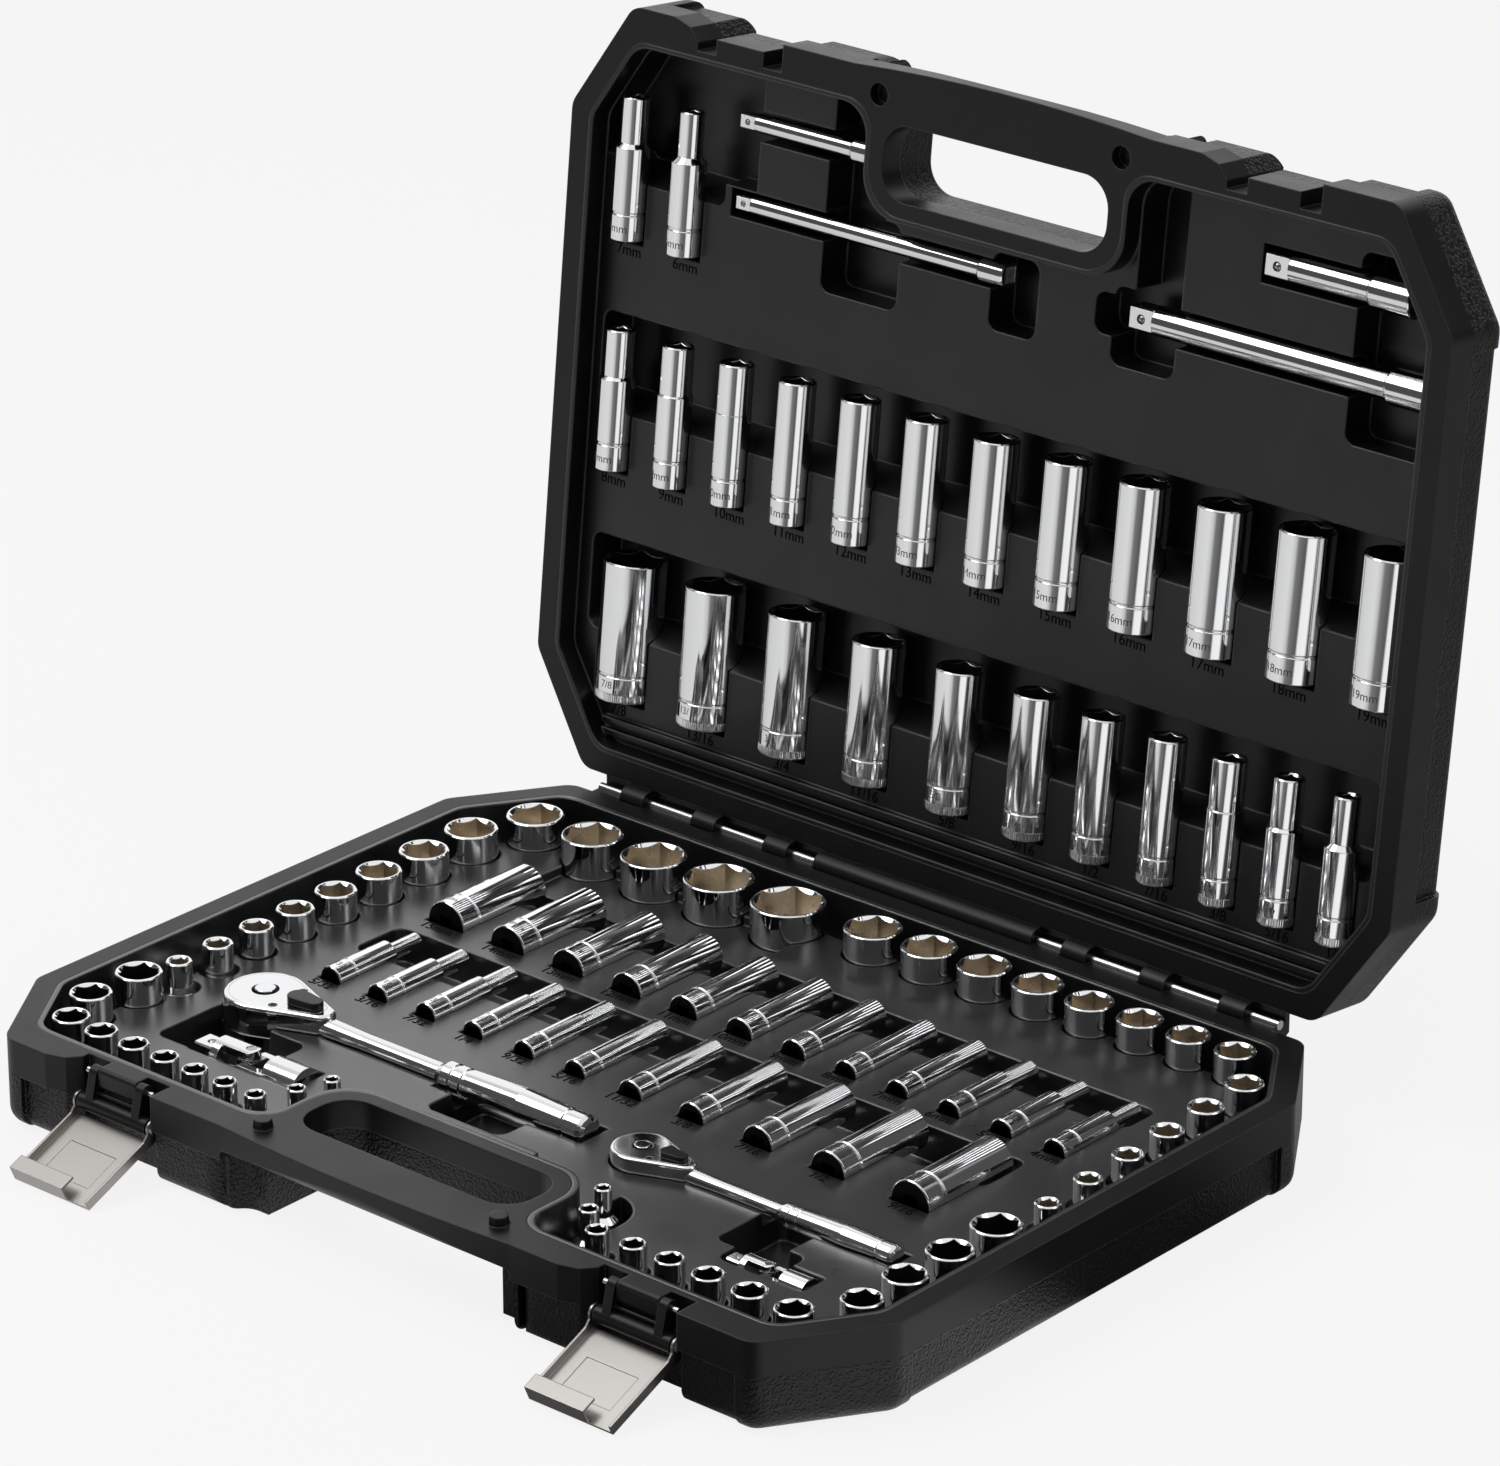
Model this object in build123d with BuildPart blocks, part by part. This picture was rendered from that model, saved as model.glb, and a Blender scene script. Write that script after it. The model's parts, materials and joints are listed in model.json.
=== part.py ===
"""Socket wrench set in its case: a moulded two-half case, its latches and hinge, and the tools in it.

Millimetres. X runs along the hinge, Y from the handle to the hinge, Z up from the underside of the base.
The lid stands open. Its own plane keeps x and y as when it is shut, with z going into the lid.
"""

import os
from math import cos, radians, sin, sqrt

from build123d import *

# Case outline and heights
CASE_W = 445.0
CASE_D = 328.0
CUT_X = 30.0
CUT_Y = 46.0
CORNER_R = 9.0
FOOT_R = 8.0
BASE_H = 38.0
LID_H = 36.5
WALL = 3.0
BASE_FLOOR = 3.0
LID_FLOOR = 2.6
RIM_T = 3.0
SIDE_RIM = 9.5
FRONT_RIM = 14.0
BACK_RIM = 8.0
BAND_H = 15.0
BAND_STEP = 2.5
PANEL_R = 6.0
GUARD_W = 8.0
FRONT = -CASE_D / 2
BACK = CASE_D / 2

# Trays: deck depths are taken from the joint face of the two halves
DECK_DROP = 12.0
TRAY_DEPTH = 18.0
LID_DECK = 10.0
LID_TRAY_DEPTH = 23.7
TRAY_WALL = 2.0
TRAY_FIT = 0.02
INNER_R = 12.0
BAND_W = 14.0
SCALLOP_GAP = 0.9
STAND_SPLIT = (-77.0, -20.0)
TROUGH_DEPTH = 14.0
LID_TROUGH_DEPTH = 16.0
TROUGH_SLOPE = 8.0
PAD_SLOPE = 3.0
TROUGH_DRAFT = 2.0
TROUGH_R = 5.0
CRADLE_GAP = 0.4
END_GAP = 2.0
SKIN = 2.0
BED_GAP = 1.2
BOSS_Z = 4.0
TROUGH_A = (-160.0, 172.0, 77.0, 98.0)
TROUGH_B = (-166.0, 162.0, 3.0, 31.0)
LOW_DECK = (-157.0, -34.0, 90.0, 130.0)
LOW_DROP = 4.0
FINGER_WELLS = (
    (-169.0, -136.0, -106.0, -66.0),
    (-44.0, -4.0, -84.0, -50.0),
    (113.0, 141.0, -94.0, -55.0),
)
LID_TROUGHS = (
    (-206.0, 208.0, -32.0, 11.0),
    (-204.0, 205.0, 64.0, 106.0),
    (-200.0, -145.0, -129.0, -88.0),
)
LID_POCKETS = (
    (-215.0, -60.0, -160.0, -98.0),
    (-92.0, -52.0, -101.0, -65.0),
    (-5.0, 19.0, -101.0, -69.0),
    (66.5, 89.0, -160.0, -80.0),
    (56.5, 88.0, -101.0, -69.0),
    (47.5, 70.0, -97.0, -80.0),
    (171.0, 215.0, -140.0, -64.0),
)
LID_BLOCKS = (
    (-128.0, -90.0, -160.0, -132.0),
    (-128.5, -92.0, -119.0, -90.0),
)
LID_HOLLOWS = (
    (-198.0, 198.0, 43.0, 61.0),
    (-198.0, 198.0, -57.0, -35.0),
)
LID_RIB_Y = 143.0
LID_RIB_W = 380.0

# Carrying handle, half in each part of the case
GRIP_W = 114.0
GRIP_FRONT = FRONT + 20.0
GRIP_BACK = FRONT + 51.0
GRIP_R = 13.0
GRIP_THICK = 12.0
GRIP_BULGE = 3.0
GRIP_ROUND = 7.0
RING_W = 128.0
RING_BACK = FRONT + 57.5
RING_R = 18.0
FLARE_R = 13.0
RELIEF_W = 150.0
RELIEF_R = 9.0
RELIEF_BACK = GRIP_BACK + 3.0
RELIEF_CORNER = 10.0
PEG_X = 61.0
PEG_Y = FRONT + 10.0
PEG_R = 4.0
PEG_H = 3.6
PEG_TAPER = 8.0
PEG_HOLE_R = 4.6
PEG_HOLE = 5.0
RIB_Y = RING_BACK + 4.0
RIB_W = 64.0
RIB_T = 2.5
RIB_H = 11.6
LID_RIB_H = 3.0

# Back hinge
OPEN_ANGLE = 96.2
HINGE_Y = BACK + 6.0
HINGE_X = (-121.0, 115.5)
HINGE_PIN_R = 2.0
KNUCKLE_R = 5.2
KNUCKLE_W = 12.4
KNUCKLE_PITCH = 39.5
HINGE_SPAN = 121.0
SIDE_GAP = 0.4
RUN_GAP = 0.06
STOP_Y = HINGE_Y + 6.0
STOP_T = 2.8
STOP_GAP = 0.08
CRADLE_DROP = 11.0
CRADLE_TAIL = 5.0
WEB_GAP = 0.6

# Draw latches
LATCH_X = (-134.5, 134.5)
RECESS_W = 45.0
RECESS_BACK = FRONT + 11.5
RAMP_W = 13.0
RAMP_DEPTH = 8.0
LUG_W = 20.0
LUG_FRONT = FRONT + 4.0
LUG_DROP = 9.0
LUG_R = 2.0
LINK_Y = FRONT + 6.5
LINK_Z = BASE_H - 3.5
LINK_PIN_R = 1.2
LINK_PIN_W = 36.0
LINK_L = 12.5
LINK_OUT = 14.0
ARM_IN = 10.6
ARM_W = 4.0
ARM_R = 3.2
RUNG_AT = 7.6
RUNG_R = 0.9
BARREL_R = 3.6
BARREL_W = 37.0
RIVET_R = 1.5
RIVET_W = 42.4
RIVET_HEAD_R = 2.3
PLATE_W = 41.0
PLATE_L = 41.0
PLATE_T = 1.0
PLATE_GAP = 4.6
PLATE_TOP = 3.2
PLATE_ANGLE = 113.5
EAR_R = 3.6
FLANGE_H = 4.0
LIP = 6.6
LIP_TURN = 7.0
LIP_END = 8.0
PRESS_TOP = 16.0
PRESS_L = 17.0
PRESS_W = 25.0
PRESS_DEEP = 0.3
LID_LUG_W = 25.0
LID_LUG_FRONT = FRONT + 5.0
LID_LUG_T = 1.8
LID_LUG_ROOT = 16.5
LID_LUG_H = 23.4

# Sockets: sizes across the flats
INCH = 25.4
QUARTER_INCH = [INCH * n / 32 for n in (5, 6, 7, 8, 9, 10, 11, 12, 14, 16, 18)]
QUARTER_METRIC = [float(n) for n in range(4, 16)]
THREE_EIGHTHS_INCH = [INCH * n / 16 for n in range(4, 17)]
THREE_EIGHTHS_METRIC = [float(n) for n in range(6, 20)]
DEEP_INCH = THREE_EIGHTHS_INCH[:11]
DRIVE_14 = 6.35
DRIVE_38 = 9.53
HUB_OD = {DRIVE_14: 11.3, DRIVE_38: 15.0}
MOUTH_GROW = {DRIVE_14: 1.2, DRIVE_38: 1.07}
MOUTH_WALL = {DRIVE_14: 2.0, DRIVE_38: 4.0}
SHALLOW_L = {DRIVE_14: 25.0, DRIVE_38: 28.0}
DEEP_L = {DRIVE_14: 50.0, DRIVE_38: 60.5}
SQUARE_L = {DRIVE_14: 7.5, DRIVE_38: 11.0}
SQUARE_EDGE = 0.7
BALL_R = {DRIVE_14: 1.2, DRIVE_38: 1.9}
BALL_OUT = 0.4
BALL_FIT = 0.06
HEX_PLAY = 0.1
SHALLOW_HUB = 0.45
DEEP_HUB = 0.65
GROOVE_AT = 0.18
GROOVE_W = 1.2
GROOVE_DEPTH = 0.35
LEAD_SHARE = 0.55
BORE_SHARE = 0.42
SHALLOW_HEX = 0.5
DEEP_HEX = 0.6
EDGE = 0.5

# Rows of lying deep sockets: y of the middle of each row
ROW_A_Y = 69.0
ROW_B_Y = 0.4
ROW_B_X = (-151.8, -125.9, -99.7, -73.8, -46.7, -19.7, 9.2, 40.7, 74.3, 109.6, 150.1)
LID_METRIC_Y = 4.2
LID_INCH_Y = 102.7
LID_INCH_X = (-183.5, -137.9, -92.9, -48.2, -4.4, 35.5, 70.0, 103.0, 134.0, 163.0, 191.0)
LID_PAIR_Y = -94.7
LID_CLEAR = 0.8

# Ratchets: places of the head's middle; every other size is drawn for 3/8 and scaled for 1/4
RATCHET_Z = 27.0
RATCHETS = {
    "ratchet_38": {"x": -153.0, "y": -60.0, "scale": 1.0, "drive": DRIVE_38},
    "ratchet_14": {"x": 50.0, "y": -62.8, "scale": 0.725, "drive": DRIVE_14},
}
HEAD_R = 17.0
HEAD_HALF = 7.0
HEAD_EDGE = 1.8
NECK_X = 31.0
NECK_R = 5.8
NECK_TAPER = 24.0
HANDLE_END = 174.0
COLLAR_X = 100.0
COLLAR_R = 6.5
COLLAR_RING = 4.0
RING_GROOVE = 2.0
WAIST_R = 4.4
GRIP_BELLY = 40.0
GRIP_MAX_R = 7.5
END_RING = 9.0
END_R = 6.7
END_ROUND = 2.4
COVER_T = 2.0
COVER_R = 14.6
COVER_TIP_X = 27.0
COVER_TIP_R = 5.0
GEAR_SPACE_R = 12.4
GEAR_FLOOR = -4.0
GEAR_R = 11.0
TOOTH = 0.8
TEETH = 36
JOURNAL_R = 8.0
DRIVE_DROP = 11.5
DRIVE_BALL_R = 1.9
DRIVE_BALL_Z = -13.0
BUTTON_R = 4.3
BUTTON_HOLE_R = 5.6
BUTTON_TOP = 7.6
BUTTON_SEAT = 1.0
BUTTON_TRAVEL = 2.0
STEM_R = 3.0
STEM_FLOOR = -9.0
LEVER_X = 18.5
LEVER_SHAFT_R = 2.5
LEVER_H = 3.0
LEVER_R = 4.6
LEVER_L = 9.0
LEVER_TIP_R = 3.4
CHAMBER_HALF = 6.8
PAWL_HALF = 6.2
PAWL_GAP = 0.8
SCREW_X = 12.5
SCREW_Y = 8.6
SCREW_R = 1.0
SCREW_HEAD_R = 1.9
SCREW_L = 7.0

# Universal joints: place of the cross, radius and drive of each
JOINT_Z = 22.0
JOINTS = {
    "joint_38": {"x": -124.0, "y": -97.0, "r": 8.6, "drive": DRIVE_38},
    "joint_14": {"x": 144.0, "y": -98.0, "r": 5.8, "drive": DRIVE_14},
}
EAR_IN = 0.535
EAR_HALF = 0.44
FORK = 1.42
SOCKET_HUB = 1.98
DRIVE_HUB = 0.47
CROSS_PIN = 0.25
CROSS_REACH = 0.96
SWING_ROOM = 2.6
TILT_ROOM = 1.15

# Extension bars in the lid: start of the square end, y, length, drive and shaft radius
BARS = {
    "bar_14_short": {"x": -140.7, "y": -125.5, "length": 72.5, "drive": DRIVE_14, "shaft": 4.2},
    "bar_14_long": {"x": -140.0, "y": -91.5, "length": 141.0, "drive": DRIVE_14, "shaft": 4.2},
    "bar_38_short": {"x": 127.0, "y": -125.0, "length": 69.0, "drive": DRIVE_38, "shaft": 6.2},
    "bar_38_long": {"x": 65.0, "y": -90.0, "length": 143.0, "drive": DRIVE_38, "shaft": 6.2},
}
BAR_H = 14.3
BAR_HUB = 2.0

os.makedirs("parts", exist_ok=True)

# The joint face of the base, and the open lid's own plane
RIM = Plane.XY.offset(BASE_H)
TURN = radians(OPEN_ANGLE)
STOP_RISE = (HINGE_Y - BACK - STOP_GAP + (STOP_Y - HINGE_Y) * cos(TURN)) / sin(TURN)
LID_BACK = Vector(0, cos(TURN), -sin(TURN))
LID = Plane(
    origin=Vector(0, HINGE_Y, BASE_H) - LID_BACK * HINGE_Y,
    x_dir=(1, 0, 0),
    z_dir=(0, sin(TURN), cos(TURN)),
)


def save(builder, name):
    """Label a finished piece and write it."""
    builder.part.label = name
    export_step(builder.part, f"parts/{name}.step")


def along_x(plane, x=0.0):
    """Sketch plane with y and z of a plane as its axes, looking along x."""
    return Plane(origin=plane.from_local_coords((x, 0, 0)), x_dir=plane.y_dir, z_dir=plane.x_dir)


def along_y(plane, y=0.0):
    """Sketch plane with x and z of a plane as its axes, looking back towards the handle."""
    return Plane(origin=plane.from_local_coords((0, y, 0)), x_dir=plane.x_dir, z_dir=plane.y_dir * -1)


# Places of the sockets


def mouth_od(size, drive):
    """Outside diameter of a socket's mouth."""
    return MOUTH_GROW[drive] * size + MOUTH_WALL[drive]


def widest(size, drive):
    """Largest diameter of a socket, that of its drive end."""
    return max(HUB_OD[drive], mouth_od(size, drive))


def spread(diameters, start, end):
    """Centres from start to end with equal gaps between round things."""
    steps = [(a + b) / 2 for a, b in zip(diameters, diameters[1:])]
    dx = end[0] - start[0]
    dy = end[1] - start[1]
    span = sqrt(dx * dx + dy * dy)
    gap = (span - sum(steps)) / max(len(steps), 1)
    centres = [start]
    done = 0.0
    for step in steps:
        done += step + gap
        centres.append((start[0] + dx * done / span, start[1] + dy * done / span))
    return centres


def runs(sizes, drive, *lines):
    """Place one series of sizes along straight runs of (count, start, end)."""
    placed = []
    for count, start, end in lines:
        run = sizes[len(placed):len(placed) + count]
        placed += zip(run, spread([widest(size, drive) for size in run], start, end))
    return placed


def row(sizes, drive, x_start, x_end, y):
    """Place a straight row of lying sockets."""
    return runs(sizes, drive, (len(sizes), (x_start, y), (x_end, y)))


STANDING = {
    "sockets_14_inch": (DRIVE_14, runs(
        QUARTER_INCH, DRIVE_14,
        (2, (-70.6, -106.8), (-75.4, -121.3)),
        (6, (-83.7, -135.4), (-169.1, -134.4)),
        (1, (-187.5, -133.0), (-188.0, -132.0)),
        (2, (-197.5, -112.8), (-197.0, -86.9)),
    )),
    "sockets_38_inch": (DRIVE_38, runs(
        THREE_EIGHTHS_INCH, DRIVE_38,
        (8, (-192.0, -69.4), (-193.6, 102.5)),
        (5, (-183.1, 130.4), (-45.8, 133.0)),
    )),
    "sockets_38_metric": (DRIVE_38, runs(
        THREE_EIGHTHS_METRIC, DRIVE_38,
        (6, (202.5, -8.0), (196.0, 120.5)),
        (8, (176.0, 141.0), (-3.6, 136.4)),
    )),
    "sockets_14_metric": (DRIVE_14, runs(
        QUARTER_METRIC, DRIVE_14,
        (2, (70.0, -107.0), (77.5, -123.0)),
        (6, (91.0, -133.5), (186.0, -133.0)),
        (4, (199.5, -111.0), (199.3, -34.2)),
    )),
}
LYING = {
    "deep_14_metric": (DRIVE_14, row(QUARTER_METRIC[::-1], DRIVE_14, -153.0, 164.0, ROW_A_Y)),
    "deep_14_inch": (DRIVE_14, [(size, (x, ROW_B_Y)) for size, x in zip(QUARTER_INCH, ROW_B_X)]),
}
LID_LYING = {
    "deep_38_metric": (DRIVE_38, row(THREE_EIGHTHS_METRIC[2:], DRIVE_38, -195.0, 198.0, LID_METRIC_Y)),
    "deep_38_pair": (DRIVE_38, row([7.0, 6.0], DRIVE_38, -195.0, -164.0, LID_PAIR_Y)),
    "deep_38_inch": (DRIVE_38, [(size, (x, LID_INCH_Y)) for size, x in zip(DEEP_INCH[::-1], LID_INCH_X)]),
}


def lid_axis(size, drive):
    """Depth of a lying socket's axis in the lid: all of them come equally near to the joint face."""
    return LID_CLEAR + widest(size, drive) / 2


# The two outer halves of the case


def outline():
    """Plan of the case: a rectangle with its four corners cut off."""
    w = CASE_W / 2
    Polygon(
        (-w + CUT_X, FRONT), (w - CUT_X, FRONT), (w, FRONT + CUT_Y), (w, BACK - CUT_Y),
        (w - CUT_X, BACK), (-w + CUT_X, BACK), (-w, BACK - CUT_Y), (-w, FRONT + CUT_Y),
        align=None,
    )


def between(x0, x1, y0, y1, radius=0.0, mode=Mode.ADD):
    """Rectangle given by its sides, with rounded corners if a radius is given."""
    with Locations(((x0 + x1) / 2, (y0 + y1) / 2)):
        if radius:
            RectangleRounded(x1 - x0, y1 - y0, radius, mode=mode)
        else:
            Rectangle(x1 - x0, y1 - y0, mode=mode)


def cavity(plan, shrink=0.0):
    """Plan of the space inside the rim, which goes round the handle's ring."""
    outline()
    offset(amount=-SIDE_RIM - shrink, kind=Kind.INTERSECTION)
    front = FRONT + FRONT_RIM + shrink
    between(-CASE_W, CASE_W, front, BACK - BACK_RIM - shrink, mode=Mode.INTERSECT)
    fillet(plan.vertices(), INNER_R)
    half = RING_W / 2 + shrink
    between(-half, half, FRONT - RING_R, RING_BACK + shrink, RING_R, mode=Mode.SUBTRACT)
    corners = [v for v in plan.vertices() if abs(abs(v.X) - half) < EDGE and v.Y < front + EDGE]
    fillet(corners, FLARE_R)


def inset_panel(section, up, height, edge, inward, length):
    """Cut one panel back under the band, round at its far edge, between two corner guards."""
    face = edge + inward * BAND_STEP
    outside = edge - inward
    middle = PANEL_R * (1 - sqrt(0.5))
    with BuildSketch(section) as cut:
        with BuildLine():
            Polyline(
                (face + inward * PANEL_R, up * height),
                (face + inward * PANEL_R, up * (height + WALL)),
                (outside, up * (height + WALL)),
                (outside, up * BAND_H),
                (face, up * BAND_H),
                (face, up * (height - PANEL_R)),
            )
            ThreePointArc(
                (face, up * (height - PANEL_R)),
                (face + inward * middle, up * (height - middle)),
                (face + inward * PANEL_R, up * height),
            )
        make_face()
    extrude(cut.sketch, amount=length / 2, both=True, mode=Mode.SUBTRACT)


def handle_half(plane, up, height):
    """Open the finger space, and free the bar in front of it."""
    with BuildSketch(plane) as bulge:
        with BuildLine():
            ThreePointArc((-RELIEF_W / 2, FRONT), (0, FRONT - GRIP_BULGE), (RELIEF_W / 2, FRONT))
            Line((RELIEF_W / 2, FRONT), (-RELIEF_W / 2, FRONT))
        make_face()
    extrude(bulge.sketch, amount=up * GRIP_THICK)
    with BuildSketch(plane) as opening:
        between(-GRIP_W / 2, GRIP_W / 2, GRIP_FRONT, GRIP_BACK, GRIP_R)
    extrude(opening.sketch, amount=up * height, mode=Mode.SUBTRACT)
    with BuildSketch(plane.offset(up * GRIP_THICK)) as relief:
        between(-RELIEF_W / 2, RELIEF_W / 2, FRONT - RELIEF_W / 2, RECESS_BACK, RELIEF_R)
        between(WALL - RING_W / 2, RING_W / 2 - WALL, FRONT, RELIEF_BACK, GRIP_R)
    extrude(relief.sketch, amount=up * height, mode=Mode.SUBTRACT)
    face = FRONT + BAND_STEP
    with BuildSketch(plane.offset(up * BAND_H)) as corners:
        for side in (-1, 1):
            near = side * RELIEF_W / 2
            far = near + side * RELIEF_CORNER
            between(min(near, far), max(near, far), face, face + RELIEF_CORNER)
            with Locations((far, face + RELIEF_CORNER)):
                Circle(RELIEF_CORNER, mode=Mode.SUBTRACT)
    extrude(corners.sketch, amount=up * height, mode=Mode.SUBTRACT)
    lip = FRONT - GRIP_BULGE
    middle = GRIP_ROUND * (1 - sqrt(0.5))
    with BuildSketch(along_x(plane)) as edge:
        with BuildLine():
            ThreePointArc(
                (lip, up * (GRIP_THICK - GRIP_ROUND)),
                (lip + middle, up * (GRIP_THICK - middle)),
                (lip + GRIP_ROUND, up * GRIP_THICK),
            )
            Polyline(
                (lip + GRIP_ROUND, up * GRIP_THICK),
                (lip, up * GRIP_THICK),
                (lip, up * (GRIP_THICK - GRIP_ROUND)),
            )
        make_face()
    extrude(edge.sketch, amount=RELIEF_W / 2 - EDGE, both=True, mode=Mode.SUBTRACT)


def shell_half(half, plane, up, height, floor):
    """One outer half: rim at the plane, walls towards up, hollow, with handle and latch recesses."""
    with BuildSketch(plane) as plan:
        outline()
        fillet(plan.vertices(), CORNER_R)
    extrude(plan.sketch, amount=up * height)
    far_face = half.faces().sort_by(Axis(plane.origin, plane.z_dir * up))[-1]
    fillet(far_face.edges(), FOOT_R)
    across = CASE_W - 2 * CUT_X - 2 * GUARD_W
    down = CASE_D - 2 * CUT_Y - 2 * GUARD_W
    inset_panel(along_x(plane), up, height, FRONT, 1, across)
    inset_panel(along_x(plane), up, height, BACK, -1, across)
    inset_panel(along_y(plane), up, height, -CASE_W / 2, 1, down)
    inset_panel(along_y(plane), up, height, CASE_W / 2, -1, down)
    skin = BAND_STEP + WALL
    with BuildSketch(plane.offset(up * RIM_T)) as hollow:
        outline()
        offset(amount=-skin, kind=Kind.INTERSECTION)
        between(-CASE_W, CASE_W, FRONT + FRONT_RIM, BACK - skin, mode=Mode.INTERSECT)
        between(-RING_W / 2, RING_W / 2, FRONT, RING_BACK, RING_R, mode=Mode.SUBTRACT)
    extrude(hollow.sketch, amount=up * (height - RIM_T - floor), mode=Mode.SUBTRACT)
    with BuildSketch(plane) as mouth:
        cavity(mouth)
    extrude(mouth.sketch, amount=up * RIM_T, mode=Mode.SUBTRACT)
    handle_half(plane, up, height)
    for x in LATCH_X:
        side = x - RECESS_W / 2
        with BuildSketch(plane) as recess:
            between(side, x + RECESS_W / 2, FRONT - WALL, RECESS_BACK)
            Polygon(
                (side - RAMP_W, FRONT - WALL), (side, FRONT - WALL), (side, FRONT + RAMP_DEPTH),
                (side - RAMP_W / 3, FRONT + RAMP_DEPTH / 3), (side - RAMP_W, FRONT),
                align=None,
            )
        extrude(recess.sketch, amount=up * height, mode=Mode.SUBTRACT)


def knuckle_places():
    """Middles of the lid's hinge knuckles."""
    return [x + n * KNUCKLE_PITCH for x in HINGE_X for n in (-1, 0, 1)]


def cradle_places():
    """Middle and half width of each open cradle of the base, between and outside the knuckles."""
    inner = KNUCKLE_PITCH / 2
    inner_half = (KNUCKLE_PITCH - KNUCKLE_W) / 2 - SIDE_GAP
    start = KNUCKLE_PITCH + KNUCKLE_W / 2 + SIDE_GAP
    outer = (start + HINGE_SPAN / 2) / 2
    outer_half = (HINGE_SPAN / 2 - start) / 2
    return [
        (x + side * at, half)
        for x in HINGE_X
        for side in (-1, 1)
        for at, half in ((inner, inner_half), (outer, outer_half))
    ]


with BuildPart() as base_shell:
    shell_half(base_shell, RIM, -1, BASE_H, BASE_FLOOR)
    for x in LATCH_X:
        with BuildSketch(along_x(RIM, x)) as lug:
            between(LUG_FRONT, RECESS_BACK + EDGE, -LUG_DROP, 0)
            fillet(lug.vertices().sort_by(Axis.X)[:2], LUG_R)
            with Locations((LINK_Y, LINK_Z - BASE_H)):
                Circle(LINK_PIN_R, mode=Mode.SUBTRACT)
        extrude(amount=LUG_W / 2, both=True)
    for x, half_w in cradle_places():
        with BuildSketch(along_x(RIM, x)):
            Polygon(
                (BACK - WALL, 0), (STOP_Y - STOP_T, 0), (STOP_Y - STOP_T, STOP_RISE), (STOP_Y, STOP_RISE),
                (STOP_Y, -CRADLE_TAIL), (BACK, -CRADLE_DROP), (BACK - WALL, -CRADLE_DROP),
                align=None,
            )
            with Locations((HINGE_Y, 0)):
                Circle(HINGE_PIN_R, mode=Mode.SUBTRACT)
        extrude(amount=half_w, both=True)
    with BuildSketch(RIM):
        with Locations((-PEG_X, PEG_Y), (PEG_X, PEG_Y)):
            Circle(PEG_R)
    extrude(amount=PEG_H, taper=PEG_TAPER)
save(base_shell, "base_shell")

with BuildPart() as lid_shell:
    shell_half(lid_shell, LID, 1, LID_H, LID_FLOOR)
    for x in LATCH_X:
        with BuildSketch(along_x(LID, x)) as lug:
            between(LID_LUG_FRONT, RECESS_BACK + EDGE, 0, LID_LUG_ROOT)
            between(LID_LUG_FRONT, LID_LUG_FRONT + LID_LUG_T, 0, LID_LUG_H)
            fillet(lug.vertices().group_by(Axis.Y)[-1].sort_by(Axis.X)[0], EDGE)
        extrude(amount=LID_LUG_W / 2, both=True)
    for x in knuckle_places():
        with BuildSketch(along_x(LID, x)):
            with Locations((HINGE_Y, 0)):
                Circle(KNUCKLE_R)
            between(BACK - WALL, HINGE_Y, WEB_GAP, KNUCKLE_R)
            with Locations((HINGE_Y, 0)):
                Circle(HINGE_PIN_R + RUN_GAP, mode=Mode.SUBTRACT)
        extrude(amount=KNUCKLE_W / 2, both=True)
    with BuildSketch(along_x(LID, sum(HINGE_X) / 2)):
        with Locations((HINGE_Y, 0)):
            Circle(KNUCKLE_R)
        between(BACK - WALL, HINGE_Y, WEB_GAP, KNUCKLE_R)
    extrude(amount=(HINGE_X[1] - HINGE_X[0] - HINGE_SPAN) / 2 - SIDE_GAP, both=True)
    with BuildSketch(LID):
        with Locations((-PEG_X, PEG_Y), (PEG_X, PEG_Y)):
            Circle(PEG_HOLE_R)
    extrude(amount=PEG_HOLE, mode=Mode.SUBTRACT)
save(lid_shell, "lid_shell")

with BuildPart() as hinge_pins:
    for x in HINGE_X:
        with BuildSketch(along_x(RIM, x)):
            with Locations((HINGE_Y, 0)):
                Circle(HINGE_PIN_R)
        extrude(amount=HINGE_SPAN / 2, both=True)
save(hinge_pins, "hinge_pins")


# The two trays


def tray_half(plane, up, deck, depth):
    """A tray block that fits inside the rim, with a thin wall up to the joint face."""
    with BuildSketch(plane) as block:
        cavity(block, TRAY_FIT)
    extrude(block.sketch, amount=up * (deck + depth))
    with BuildSketch(plane) as room:
        cavity(room, TRAY_FIT + TRAY_WALL)
    extrude(room.sketch, amount=up * deck, mode=Mode.SUBTRACT)


def trough(plane, up, deck, depth, sides, slope_front=0.0, slope_back=0.0):
    """Sink a trough below the deck between (x0, x1, y0, y1); its front and back edges slope if asked."""
    x0, x1, y0, y1 = sides
    with BuildSketch(plane.offset(up * deck)) as top:
        between(x0, x1, y0, y1, TROUGH_R)
    with BuildSketch(plane.offset(up * (deck + depth))) as bottom:
        between(
            x0 + TROUGH_DRAFT, x1 - TROUGH_DRAFT,
            y0 + max(slope_front, TROUGH_DRAFT), y1 - max(slope_back, TROUGH_DRAFT),
            TROUGH_R - TROUGH_DRAFT,
        )
    loft([top.sketch.face(), bottom.sketch.face()], mode=Mode.SUBTRACT)


def cradles(plane, deck, places, y0, y1):
    """Cut round-bottomed cradles along y for lying sockets given as (x, z, radius)."""
    with BuildSketch(along_y(plane, y1)) as rounds:
        for x, z, radius in places:
            half = radius + CRADLE_GAP
            with Locations((x, z)):
                Circle(half)
            if abs(z) > abs(deck):
                between(x - half, x + half, min(z, deck), max(z, deck))
    extrude(rounds.sketch, amount=y1 - y0, mode=Mode.SUBTRACT)


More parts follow.
